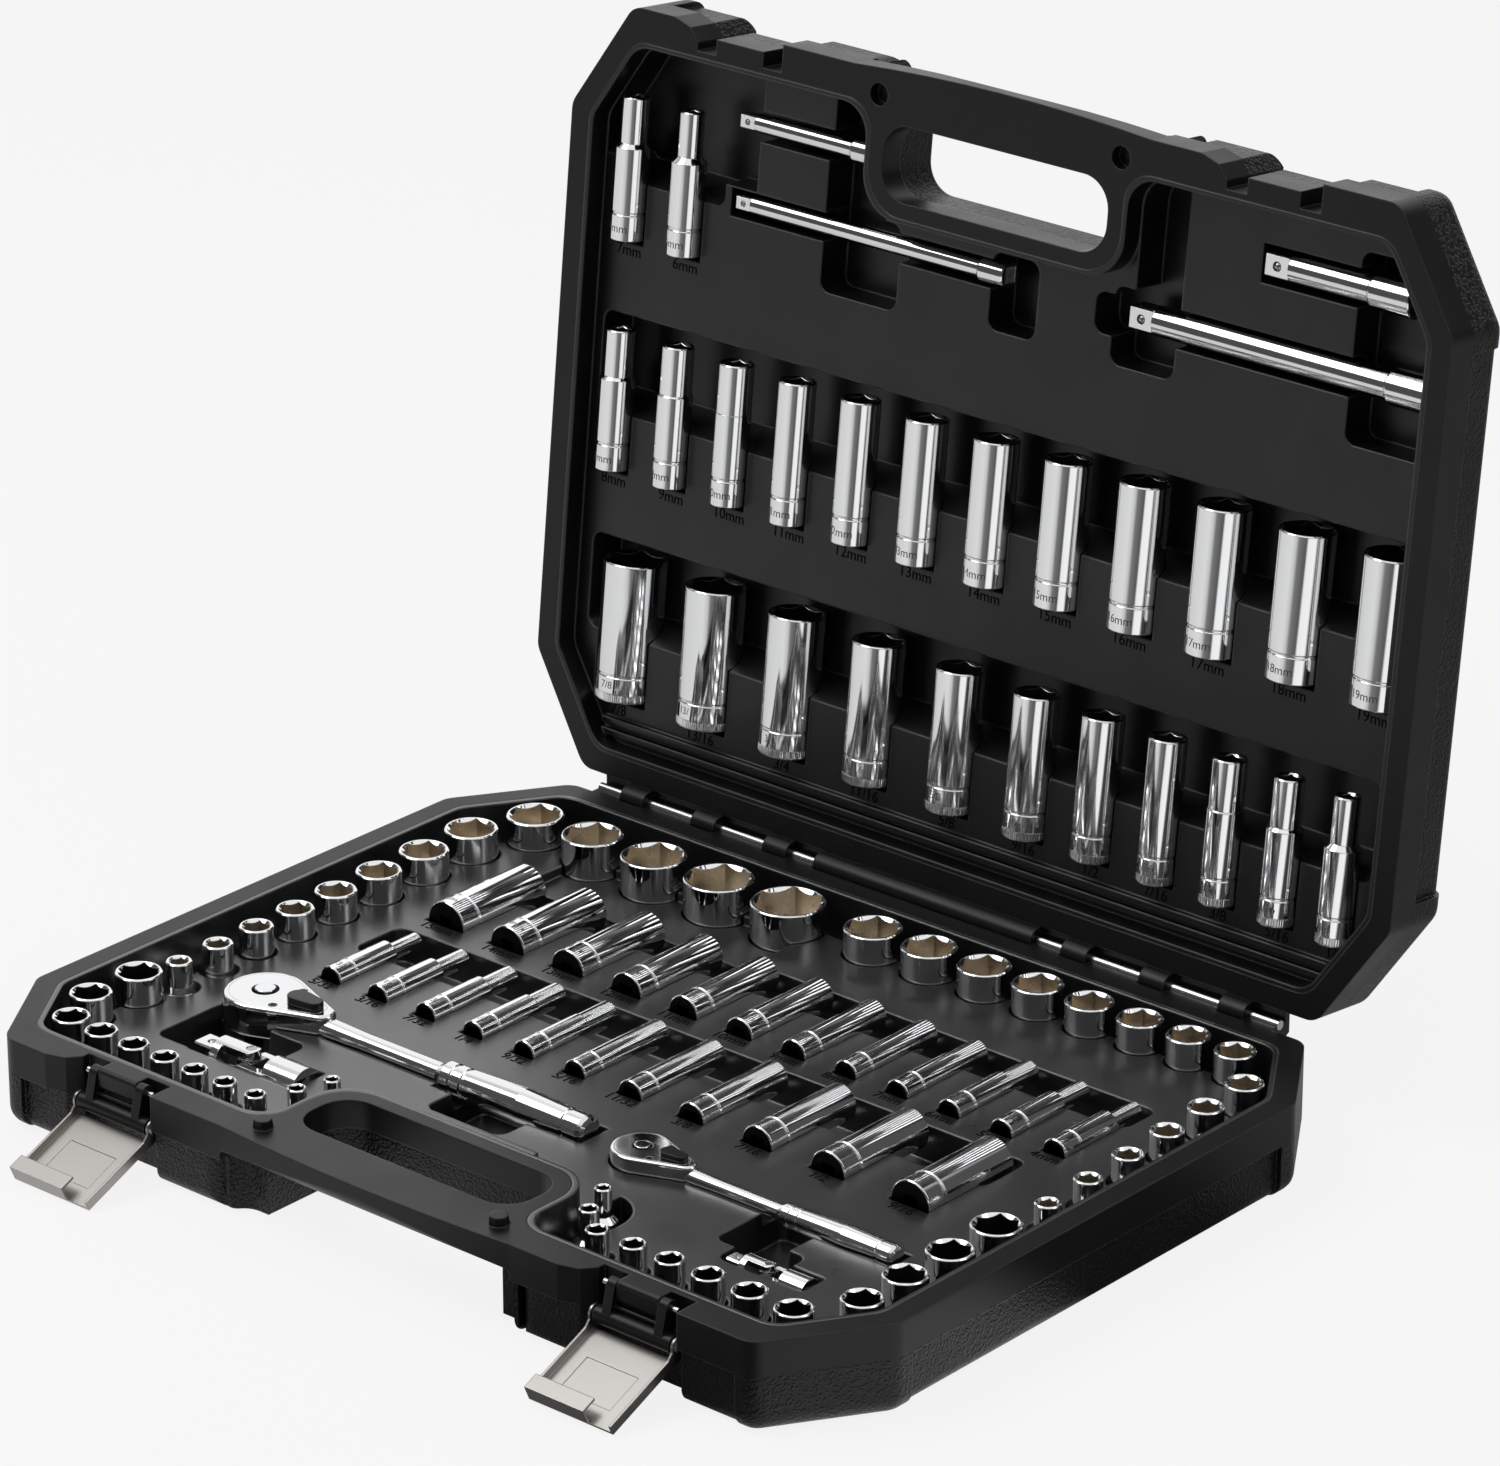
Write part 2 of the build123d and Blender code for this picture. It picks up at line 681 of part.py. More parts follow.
def well(plane, up, deck, depth, x0, x1, y0, y1, radius=TROUGH_R):
    """Sink a straight pocket below the deck."""
    with BuildSketch(plane.offset(up * deck)) as pocket:
        between(x0, x1, y0, y1, radius)
    extrude(pocket.sketch, amount=up * depth, mode=Mode.SUBTRACT)


def pear(round_r, tip_x, tip_r):
    """Outline of a round end that narrows to a smaller round one along x."""
    Circle(round_r)
    with Locations((tip_x, 0)):
        Circle(tip_r)
    make_hull()


def ratchet_pocket(x, y, k):
    """Sink the bed of a ratchet, and the deeper hole for its square drive."""
    deck = Plane(origin=(x, y, BASE_H - DECK_DROP))
    floor = RATCHET_Z - (GRIP_MAX_R + CRADLE_GAP) * k
    end = (HANDLE_END + END_GAP) * k
    collar = (COLLAR_X - END_GAP) * k
    with BuildSketch(deck) as bed:
        pear((HEAD_R + BED_GAP) * k, NECK_X * k, (NECK_R + BED_GAP) * k)
        between(0, end, -(WAIST_R + BED_GAP) * k, (WAIST_R + BED_GAP) * k)
        between(collar, end, -(GRIP_MAX_R + BED_GAP) * k, (GRIP_MAX_R + BED_GAP) * k)
    extrude(bed.sketch, amount=floor - deck.origin.Z, mode=Mode.SUBTRACT)
    low = RATCHET_Z - (HEAD_HALF + DRIVE_DROP + CRADLE_GAP) * k
    with BuildSketch(deck) as hole:
        Circle((JOURNAL_R + BED_GAP) * k)
    extrude(hole.sketch, amount=low - deck.origin.Z, mode=Mode.SUBTRACT)


def joint_pocket(x, y, r, drive):
    """Sink the bed of a universal joint, wide enough at its square end to swing towards the ratchet."""
    depth = BASE_H - DECK_DROP - JOINT_Z + TILT_ROOM * r + CRADLE_GAP
    socket_end = x + (FORK + SOCKET_HUB) * r + END_GAP
    drive_end = x - (FORK + DRIVE_HUB) * r - SQUARE_L[drive] - END_GAP
    well(RIM, -1, DECK_DROP, depth, x - r, socket_end, y - r - BED_GAP, y + r + BED_GAP, END_GAP)
    well(RIM, -1, DECK_DROP, depth, drive_end, x + r, y - r - BED_GAP, y + SWING_ROOM * r)


with BuildPart() as base_tray:
    tray_half(RIM, -1, DECK_DROP, TRAY_DEPTH)
    big = RATCHETS["ratchet_38"]
    with BuildSketch(RIM.offset(-DECK_DROP)):
        with Locations((big["x"], big["y"])):
            Circle(JOURNAL_R + BED_GAP + SKIN)
    extrude(amount=BOSS_Z + DECK_DROP - BASE_H)
    with BuildSketch(RIM.offset(-DECK_DROP), mode=Mode.PRIVATE) as room:
        cavity(room, TRAY_FIT + TRAY_WALL)
    with BuildSketch(RIM.offset(-DECK_DROP), mode=Mode.PRIVATE) as middle:
        cavity(middle, TRAY_FIT + TRAY_WALL + BAND_W)
        between(-RING_W / 2, RING_W / 2, RING_BACK, RING_BACK + 2 * BAND_W)
    left, right = STAND_SPLIT
    for drive, front in ((DRIVE_14, True), (DRIVE_38, False)):
        with BuildSketch(RIM.offset(-DECK_DROP)):
            add(room.sketch_local)
            add(middle.sketch_local, mode=Mode.SUBTRACT)
            for series_drive, placed in STANDING.values():
                for size, place in placed:
                    with Locations(place):
                        Circle(widest(size, series_drive) / 2 + SCALLOP_GAP)
            add(room.sketch_local, mode=Mode.INTERSECT)
            between(-CASE_W, 0, left if front else FRONT, BACK if front else left, mode=Mode.SUBTRACT)
            between(0, CASE_W, right if front else FRONT, BACK if front else right, mode=Mode.SUBTRACT)
        extrude(amount=DECK_DROP - SHALLOW_L[drive], mode=Mode.SUBTRACT)
    well(RIM, -1, DECK_DROP, LOW_DROP, *LOW_DECK)
    trough(RIM, -1, DECK_DROP, TROUGH_DEPTH, TROUGH_A, slope_front=PAD_SLOPE)
    trough(RIM, -1, DECK_DROP, TROUGH_DEPTH, TROUGH_B, slope_front=PAD_SLOPE)
    for drive, placed in LYING.values():
        y = placed[0][1][1]
        places = [(x, -DECK_DROP, widest(size, drive) / 2) for size, (x, _) in placed]
        cradles(RIM, -DECK_DROP, places, y - DEEP_L[drive] / 2 - END_GAP, y + DEEP_L[drive] / 2)
    for spec in RATCHETS.values():
        ratchet_pocket(spec["x"], spec["y"], spec["scale"])
    for spec in JOINTS.values():
        joint_pocket(spec["x"], spec["y"], spec["r"], spec["drive"])
    for sides in FINGER_WELLS:
        trough(RIM, -1, DECK_DROP, TROUGH_DEPTH, sides)
    with BuildSketch(RIM.offset(-DECK_DROP)):
        with Locations((0, RIB_Y)):
            Rectangle(RIB_W, RIB_T)
    extrude(amount=RIB_H)
save(base_tray, "base_tray")

with BuildPart() as lid_tray:
    tray_half(LID, 1, LID_DECK, LID_TRAY_DEPTH)
    for sides in LID_TROUGHS:
        trough(LID, 1, LID_DECK, LID_TROUGH_DEPTH, sides, slope_back=TROUGH_SLOPE)
    with BuildSketch(LID.offset(LID_DECK), mode=Mode.PRIVATE) as room:
        cavity(room, TRAY_FIT + TRAY_WALL + EDGE)
    with BuildSketch(LID.offset(LID_DECK)):
        for sides in LID_POCKETS:
            between(*sides, TROUGH_R)
        for sides in LID_BLOCKS:
            between(*sides, mode=Mode.SUBTRACT)
        add(room.sketch_local, mode=Mode.INTERSECT)
    extrude(amount=LID_TROUGH_DEPTH, mode=Mode.SUBTRACT)
    for drive, placed in LID_LYING.values():
        y = placed[0][1][1]
        places = [(x, lid_axis(size, drive), widest(size, drive) / 2) for size, (x, _) in placed]
        cradles(LID, LID_DECK, places, y - DEEP_L[drive] / 2, y + DEEP_L[drive] / 2 + END_GAP)
    for spec in BARS.values():
        with BuildSketch(along_x(LID, spec["x"] - END_GAP)):
            half = HUB_OD[spec["drive"]] / 2 + CRADLE_GAP
            with Locations((spec["y"], BAR_H)):
                Circle(half)
            between(spec["y"] - half, spec["y"] + half, LID_DECK, BAR_H)
        extrude(amount=spec["length"] + 2 * END_GAP, mode=Mode.SUBTRACT)
    for x0, x1, y0, y1 in LID_HOLLOWS:
        well(LID, 1, LID_DECK + SKIN, LID_TRAY_DEPTH, x0, x1, y0, y1)
    with BuildSketch(LID.offset(LID_DECK)):
        with Locations((0, LID_RIB_Y), (0, LID_RIB_Y + 2 * RIB_T)):
            Rectangle(LID_RIB_W, RIB_T)
    extrude(amount=-LID_RIB_H)
save(lid_tray, "lid_tray")


# Latches


def latch(side, x):
    """One draw latch: the link on the base, the plate hung in it, and the rivet between them."""
    out = radians(LINK_OUT)
    reach = Vector(0, -sin(out), -cos(out))
    pivot = Vector(x, LINK_Y, LINK_Z)
    hook = pivot + reach * LINK_L
    with BuildPart() as link:
        for arm_x in (-1, 1):
            arm = Plane.YZ.offset(x + arm_x * (ARM_IN + ARM_W / 2))
            with BuildSketch(arm):
                middle = pivot + reach * (LINK_L / 2)
                with Locations((middle.Y, middle.Z)):
                    SlotCenterToCenter(LINK_L, 2 * ARM_R, rotation=90 - LINK_OUT)
            extrude(amount=ARM_W / 2, both=True)
        with BuildSketch(Plane.YZ.offset(x)):
            with Locations((hook.Y, hook.Z)):
                Circle(BARREL_R)
        extrude(amount=BARREL_W / 2, both=True)
        rung = pivot + reach * RUNG_AT
        with BuildSketch(Plane.YZ.offset(x)):
            with Locations((rung.Y, rung.Z)):
                Circle(RUNG_R)
        extrude(amount=ARM_IN + RUNG_R, both=True)
        with BuildSketch(Plane.YZ.offset(x)):
            with Locations((hook.Y, hook.Z)):
                Circle(RIVET_R + RUN_GAP)
            with Locations((pivot.Y, pivot.Z)):
                Circle(LINK_PIN_R + RUN_GAP)
        extrude(amount=BARREL_W, both=True, mode=Mode.SUBTRACT)
    save(link, f"latch_link_{side}")

    swing = radians(PLATE_ANGLE)
    sheet_plane = Plane(origin=hook, x_dir=(0, -sin(swing), cos(swing)), z_dir=(-1, 0, 0))
    outer = -PLATE_GAP - PLATE_T
    with BuildPart() as plate:
        with BuildSketch(sheet_plane):
            between(PLATE_TOP, PLATE_L, outer, -PLATE_GAP)
        extrude(amount=PLATE_W / 2, both=True)
        with BuildSketch(sheet_plane.offset(-LIP_END)):
            between(PLATE_L - PLATE_T, PLATE_L, outer, outer + LIP)
            between(PLATE_L - LIP_TURN, PLATE_L, outer + LIP - PLATE_T, outer + LIP)
        extrude(amount=LIP_END + PLATE_W / 2)
        with BuildSketch(sheet_plane):
            between(PRESS_TOP, PRESS_TOP + PRESS_L, -PLATE_GAP - PRESS_DEEP, -PLATE_GAP)
        extrude(amount=PRESS_W / 2, both=True, mode=Mode.SUBTRACT)
        for flange_x in (-1, 1):
            with BuildSketch(sheet_plane.offset(flange_x * (PLATE_W - PLATE_T) / 2)):
                Circle(EAR_R)
                Polygon(
                    (-EAR_R, 0), (0, outer), (PLATE_L, outer), (PLATE_L, outer + FLANGE_H),
                    (PLATE_TOP + EAR_R, outer + FLANGE_H), (EAR_R, 0),
                    align=None,
                )
                Circle(RIVET_R, mode=Mode.SUBTRACT)
            extrude(amount=PLATE_T / 2, both=True)
    save(plate, f"latch_plate_{side}")

    with BuildPart() as rivet:
        with BuildSketch(sheet_plane):
            Circle(RIVET_R)
        extrude(amount=RIVET_W / 2, both=True)
        for end in (-1, 1):
            with BuildSketch(sheet_plane.offset(end * PLATE_W / 2)):
                Circle(RIVET_HEAD_R)
            extrude(amount=end * (RIVET_W - PLATE_W) / 2)
    save(rivet, f"latch_rivet_{side}")


latch("left", LATCH_X[0])
latch("right", LATCH_X[1])

with BuildPart() as latch_pins:
    for x in LATCH_X:
        with BuildSketch(Plane.YZ.offset(x)):
            with Locations((LINK_Y, LINK_Z)):
                Circle(LINK_PIN_R)
        extrude(amount=LINK_PIN_W / 2, both=True)
save(latch_pins, "latch_pins")


# Sockets


def socket(size, drive, length, hub_share, hex_depth):
    """One socket along +z, drive end at z = 0, six-sided mouth at the top."""
    hub = widest(size, drive) / 2
    mouth = mouth_od(size, drive) / 2
    step = length * hub_share
    neck = [(hub, step), (mouth, step + abs(hub - mouth))] if hub != mouth else []
    groove = length * GROOVE_AT
    flat = size / 2 + HEX_PLAY
    corner = 2 * flat / sqrt(3)
    lead = min((mouth - flat) * LEAD_SHARE, corner - flat + EDGE)
    with BuildPart() as body:
        with BuildSketch(Plane.XZ):
            Polygon(
                (0, 0), (hub - EDGE, 0), (hub, EDGE),
                (hub, groove), (hub - GROOVE_DEPTH, groove + GROOVE_DEPTH),
                (hub - GROOVE_DEPTH, groove + GROOVE_W), (hub, groove + GROOVE_W + GROOVE_DEPTH),
                *neck, (mouth, length - EDGE), (mouth - EDGE, length), (0, length),
                align=None,
            )
        revolve(axis=Axis.Z)
        with BuildSketch(Plane.XY.offset(length)):
            RegularPolygon(flat, 6, major_radius=False)
        extrude(amount=-hex_depth, mode=Mode.SUBTRACT)
        with Locations((0, 0, length)):
            Cone(flat, flat + lead, lead, align=(Align.CENTER, Align.CENTER, Align.MAX), mode=Mode.SUBTRACT)
        with BuildSketch():
            Rectangle(drive + 2 * HEX_PLAY, drive + 2 * HEX_PLAY)
        extrude(amount=SQUARE_L[drive], mode=Mode.SUBTRACT)
        with BuildSketch():
            Circle(min(drive, size) * BORE_SHARE)
        extrude(amount=length - hex_depth, mode=Mode.SUBTRACT)
    return body.part


for name, (drive, placed) in STANDING.items():
    with BuildPart() as series:
        for size, (x, y) in placed:
            with Locations((x, y, BASE_H - SHALLOW_L[drive])):
                add(socket(size, drive, SHALLOW_L[drive], SHALLOW_HUB, SHALLOW_L[drive] * SHALLOW_HEX))
    save(series, name)

for name, (drive, placed) in LYING.items():
    with BuildPart() as series:
        for size, (x, y) in placed:
            start = RIM.from_local_coords((x, y - DEEP_L[drive] / 2, -DECK_DROP))
            with Locations(Plane(origin=start, x_dir=RIM.x_dir, z_dir=RIM.y_dir)):
                add(socket(size, drive, DEEP_L[drive], DEEP_HUB, DEEP_L[drive] * DEEP_HEX))
    save(series, name)

for name, (drive, placed) in LID_LYING.items():
    with BuildPart() as series:
        for size, (x, y) in placed:
            start = LID.from_local_coords((x, y + DEEP_L[drive] / 2, lid_axis(size, drive)))
            with Locations(Plane(origin=start, x_dir=LID.x_dir, z_dir=LID.y_dir * -1)):
                add(socket(size, drive, DEEP_L[drive], DEEP_HUB, DEEP_L[drive] * DEEP_HEX))
    save(series, name)


# Square drives, their spring balls, and the extension bars


def square_end(drive, length):
    """Add a square drive from z = 0 to length, with a seat for its ball on the +x face."""
    with BuildSketch() as square:
        Rectangle(drive, drive)
        chamfer(square.vertices(), SQUARE_EDGE)
    extrude(square.sketch, amount=length)
    ball_seat(ball_place(drive), BALL_R[drive])


def ball_seat(place, radius):
    """Drill the blind hole that a spring ball sits in, open towards +x."""
    x, y, z = place
    with Locations((x - radius - BALL_FIT, y, z)):
        Cylinder(
            radius + BALL_FIT, 2 * radius, rotation=(0, 90, 0),
            align=(Align.CENTER, Align.CENTER, Align.MIN), mode=Mode.SUBTRACT,
        )


def ball_place(drive):
    """Middle of the spring ball in a square drive that starts at z = 0."""
    return (drive / 2 - BALL_R[drive] + BALL_OUT, 0, SQUARE_L[drive] / 2)


def save_ball(drive, plane, name):
    """The spring ball of a square drive whose end stands at a plane."""
    with BuildPart() as ball:
        with Locations(plane):
            with Locations(ball_place(drive)):
                Sphere(BALL_R[drive])
    save(ball, name)


for name, spec in BARS.items():
    drive = spec["drive"]
    length = spec["length"]
    hub = HUB_OD[drive] / 2
    shaft = spec["shaft"]
    shoulder = SQUARE_L[drive]
    hub_start = length - BAR_HUB * drive
    with BuildPart() as bar:
        with BuildSketch(Plane.XZ):
            Polygon(
                (0, shoulder), (shaft - EDGE, shoulder), (shaft, shoulder + EDGE),
                (shaft, hub_start - GROOVE_W), (shaft - GROOVE_DEPTH, hub_start - GROOVE_W),
                (shaft - GROOVE_DEPTH, hub_start),
                (hub - EDGE, hub_start), (hub, hub_start + EDGE),
                (hub, length - EDGE), (hub - EDGE, length), (0, length),
                align=None,
            )
        revolve(axis=Axis.Z)
        square_end(drive, shoulder)
        with BuildSketch(Plane.XY.offset(length)):
            Rectangle(drive + 2 * HEX_PLAY, drive + 2 * HEX_PLAY)
        extrude(amount=-shoulder, mode=Mode.SUBTRACT)
    start = LID.from_local_coords((spec["x"], spec["y"], BAR_H))
    lay = Plane(origin=start, x_dir=LID.z_dir * -1, z_dir=LID.x_dir)
    with BuildPart() as placed_bar:
        with Locations(lay):
            add(bar.part)
    save(placed_bar, name)
    save_ball(drive, lay, f"{name}_ball")


# Universal joints


def fork(plane, r, hub):
    """Half a universal joint: a round hub and two ears about the middle of the plane, apart along its x."""
    ear = r * EAR_HALF
    base = r * FORK
    side = Plane(origin=plane.origin, x_dir=plane.y_dir, z_dir=plane.x_dir)
    with BuildSketch(side) as ears:
        Circle(ear)
        between(-ear, ear, 0, base)
    extrude(ears.sketch, amount=r, both=True)
    with BuildSketch(side) as gap:
        between(-r, r, -r, base)
    extrude(gap.sketch, amount=r * EAR_IN, both=True, mode=Mode.SUBTRACT)
    with BuildSketch(plane.offset(-r)) as trim:
        Circle(r)
    extrude(trim.sketch, amount=r + base, mode=Mode.INTERSECT)
    with BuildSketch(plane.offset(base)) as body:
        Circle(r)
    extrude(body.sketch, amount=hub)
    with BuildSketch(side) as pin_hole:
        Circle(r * CROSS_PIN + RUN_GAP)
    extrude(pin_hole.sketch, amount=r, both=True, mode=Mode.SUBTRACT)


for name, spec in JOINTS.items():
    r = spec["r"]
    drive = spec["drive"]
    middle = Vector(spec["x"], spec["y"], JOINT_Z)
    towards_socket = Plane(origin=middle, x_dir=(0, 1, 0), z_dir=(1, 0, 0))
    towards_drive = Plane(origin=middle, x_dir=(0, 0, 1), z_dir=(-1, 0, 0))
    socket_hub = SOCKET_HUB * r
    drive_hub = DRIVE_HUB * r

    with BuildPart() as socket_half:
        fork(towards_socket, r, socket_hub)
        mouth_plane = towards_socket.offset(FORK * r + socket_hub)
        with BuildSketch(mouth_plane):
            Rectangle(drive + 2 * HEX_PLAY, drive + 2 * HEX_PLAY)
        extrude(amount=-SQUARE_L[drive], mode=Mode.SUBTRACT)
    save(socket_half, f"{name}_socket")

    with BuildPart() as cross:
        side = 2 * (r * EAR_IN - CRADLE_GAP)
        with Locations(middle):
            Box(side, side, side)
        for axis in ((0, 1, 0), (0, 0, 1)):
            with BuildSketch(Plane(origin=middle, x_dir=(1, 0, 0), z_dir=axis)):
                Circle(r * CROSS_PIN)
            extrude(amount=r * CROSS_REACH, both=True)
    save(cross, f"{name}_cross")

    tip = towards_drive.offset(FORK * r + drive_hub + SQUARE_L[drive])
    seat = Plane(origin=tip.origin, x_dir=(0, 0, 1), z_dir=(1, 0, 0))
    with BuildPart() as square_piece:
        square_end(drive, SQUARE_L[drive])
    with BuildPart() as drive_half:
        fork(towards_drive, r, drive_hub)
        with Locations(seat):
            add(square_piece.part)
    save(drive_half, f"{name}_drive")
    save_ball(drive, seat, f"{name}_ball")


# Ratchets: drawn at 3/8 size about the middle of the head, handle along +x, cover on top


def ring_groove(x, radius):
    """Points of one turned groove in the handle, starting at x."""
    return [
        (x, radius), (x + EDGE, radius - EDGE),
        (x + RING_GROOVE - EDGE, radius - EDGE), (x + RING_GROOVE, radius),
    ]


def handle_profile():
    """Outline of the handle above its axis, from inside the head to the rounded end."""
    first = COLLAR_X + COLLAR_RING
    second = first + RING_GROOVE + COLLAR_RING
    last = HANDLE_END - END_RING - RING_GROOVE
    third = END_ROUND / 3
    return [
        (NECK_X - NECK_R, 0), (NECK_X - NECK_R, NECK_R - EDGE), (NECK_X + NECK_TAPER, WAIST_R),
        (COLLAR_X - COLLAR_RING, WAIST_R), (COLLAR_X, COLLAR_R),
        *ring_groove(first, COLLAR_R), *ring_groove(second, COLLAR_R),
        (COLLAR_X + GRIP_BELLY, GRIP_MAX_R), *ring_groove(last, END_R),
        (HANDLE_END - END_ROUND, END_R), (HANDLE_END - third, END_R - third),
        (HANDLE_END, END_R - END_ROUND), (HANDLE_END, 0),
    ]


def set_down(piece, spec, name):
    """Scale a ratchet piece to its drive, put it in its bed, and write it."""
    with BuildPart() as placed_piece:
        with Locations((spec["x"], spec["y"], RATCHET_Z)):
            add(scale(piece.part, by=spec["scale"], mode=Mode.PRIVATE))
    save(placed_piece, name)


COVER_Z = HEAD_HALF - COVER_T
SCREWS = ((SCREW_X, SCREW_Y), (SCREW_X, -SCREW_Y))

for name, spec in RATCHETS.items():
    square = spec["drive"] / spec["scale"]
    ball_at = (square / 2 - DRIVE_BALL_R + BALL_OUT, 0, DRIVE_BALL_Z)

    with BuildPart() as body:
        with BuildSketch():
            pear(HEAD_R, NECK_X, NECK_R)
        extrude(amount=HEAD_HALF, both=True)
        fillet(body.edges().group_by(Axis.Z)[0] + body.edges().group_by(Axis.Z)[-1], HEAD_EDGE)
        with BuildSketch():
            Polygon(*handle_profile(), align=None)
        revolve(axis=Axis.X)
        with BuildSketch(Plane.XY.offset(COVER_Z)):
            pear(COVER_R, COVER_TIP_X, COVER_TIP_R)
        extrude(amount=HEAD_HALF, mode=Mode.SUBTRACT)
        with BuildSketch(Plane.XY.offset(GEAR_FLOOR)):
            Circle(GEAR_SPACE_R)
            between(0, COVER_TIP_X - COVER_TIP_R / 2, -CHAMBER_HALF, CHAMBER_HALF)
        extrude(amount=HEAD_HALF - GEAR_FLOOR, mode=Mode.SUBTRACT)
        with BuildSketch(Plane.XY.offset(-HEAD_HALF)):
            Circle(JOURNAL_R + RUN_GAP)
        extrude(amount=HEAD_HALF, mode=Mode.SUBTRACT)
        with BuildSketch(Plane.XY.offset(COVER_Z)):
            with Locations(SCREWS):
                Circle(SCREW_R + RUN_GAP)
        extrude(amount=-SCREW_L, mode=Mode.SUBTRACT)
    set_down(body, spec, f"{name}_body")

    with BuildPart() as cover:
        with BuildSketch(Plane.XY.offset(COVER_Z)):
            pear(COVER_R - RUN_GAP, COVER_TIP_X, COVER_TIP_R - RUN_GAP)
            Circle(BUTTON_HOLE_R, mode=Mode.SUBTRACT)
            with Locations((LEVER_X, 0)):
                Circle(LEVER_SHAFT_R + RUN_GAP, mode=Mode.SUBTRACT)
        extrude(amount=COVER_T)
        with Locations([(x, y, HEAD_HALF) for x, y in SCREWS]):
            CounterSinkHole(SCREW_R + RUN_GAP, SCREW_HEAD_R + RUN_GAP, COVER_T)
    set_down(cover, spec, f"{name}_cover")

    with BuildPart() as screws:
        for x, y in SCREWS:
            with BuildSketch(Plane.XZ.offset(-y)):
                Polygon(
                    (x, COVER_Z - SCREW_L + EDGE), (x + SCREW_R, COVER_Z - SCREW_L + EDGE),
                    (x + SCREW_R, HEAD_HALF - SCREW_HEAD_R + SCREW_R), (x + SCREW_HEAD_R, HEAD_HALF),
                    (x, HEAD_HALF),
                    align=None,
                )
            revolve(axis=Axis((x, y, 0), (0, 0, 1)))
        with BuildSketch(Plane.XY.offset(HEAD_HALF)):
            with Locations(SCREWS):
                Rectangle(2 * SCREW_R, EDGE)
                Rectangle(EDGE, 2 * SCREW_R)
        extrude(amount=-EDGE, mode=Mode.SUBTRACT)
    set_down(screws, spec, f"{name}_screws")

    with BuildPart() as gear:
        with BuildSketch(Plane.XY.offset(GEAR_FLOOR + CRADLE_GAP / 2)):
            Circle(GEAR_R)
            with PolarLocations(GEAR_R, TEETH):
                Rectangle(2 * TOOTH, TOOTH)
        extrude(amount=COVER_Z - GEAR_FLOOR - CRADLE_GAP)
        with BuildSketch(Plane.XY.offset(-HEAD_HALF)):
            Circle(JOURNAL_R)
        extrude(amount=HEAD_HALF + GEAR_FLOOR + CRADLE_GAP)
        with BuildSketch(Plane.XY.offset(-HEAD_HALF)) as peg:
            Rectangle(square, square)
            chamfer(peg.vertices(), SQUARE_EDGE)
        extrude(amount=-DRIVE_DROP)
        with BuildSketch(Plane.XY.offset(BUTTON_SEAT)):
            Circle(BUTTON_R + CRADLE_GAP)
        extrude(amount=HEAD_HALF, mode=Mode.SUBTRACT)
        with BuildSketch(Plane.XY.offset(STEM_FLOOR)):
            Circle(STEM_R + RUN_GAP)
        extrude(amount=HEAD_HALF - STEM_FLOOR, mode=Mode.SUBTRACT)
        ball_seat(ball_at, DRIVE_BALL_R)
    set_down(gear, spec, f"{name}_gear")

    with BuildPart() as ball:
        with Locations(ball_at):
            Sphere(DRIVE_BALL_R)
    set_down(ball, spec, f"{name}_ball")

    with BuildPart() as button:
        with BuildSketch(Plane.XY.offset(BUTTON_SEAT + BUTTON_TRAVEL + CRADLE_GAP / 2)):
            Circle(BUTTON_R)
        extrude(amount=BUTTON_TOP - BUTTON_SEAT - BUTTON_TRAVEL)
        fillet(button.edges().sort_by(Axis.Z)[-1], EDGE)
        with BuildSketch(Plane.XY.offset(STEM_FLOOR + BUTTON_TRAVEL + CRADLE_GAP)):
            Circle(STEM_R)
        extrude(amount=BUTTON_SEAT - STEM_FLOOR)
    set_down(button, spec, f"{name}_button")

    with BuildPart() as lever:
        with BuildSketch(Plane.XY.offset(HEAD_HALF + CRADLE_GAP)):
            with Locations((LEVER_X, 0)):
                Circle(LEVER_R)
            with Locations((LEVER_X + LEVER_L, 0)):
                Circle(LEVER_TIP_R)
            make_hull()
        extrude(amount=LEVER_H)
        fillet(lever.edges().group_by(Axis.Z)[-1], EDGE)
        with BuildSketch(Plane.XY.offset(GEAR_FLOOR + CRADLE_GAP)):
            with Locations((LEVER_X, 0)):
                Circle(LEVER_SHAFT_R)
        extrude(amount=HEAD_HALF - GEAR_FLOOR)
    set_down(lever, spec, f"{name}_lever")

    with BuildPart() as pawl:
        with BuildSketch(Plane.XY.offset(GEAR_FLOOR + CRADLE_GAP)):
            between(GEAR_R - EDGE, LEVER_X + LEVER_SHAFT_R + EDGE, -PAWL_HALF, PAWL_HALF)
            Circle(GEAR_R + TOOTH + PAWL_GAP, mode=Mode.SUBTRACT)
            with Locations((LEVER_X, 0)):
                Circle(LEVER_SHAFT_R + RUN_GAP, mode=Mode.SUBTRACT)
        extrude(amount=COVER_Z - GEAR_FLOOR - 2 * CRADLE_GAP)
    set_down(pawl, spec, f"{name}_pawl")
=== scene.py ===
import json
from fractions import Fraction
from math import atan2, cos, pi, radians, sin

import bmesh
import bpy
from mathutils import Matrix, Vector


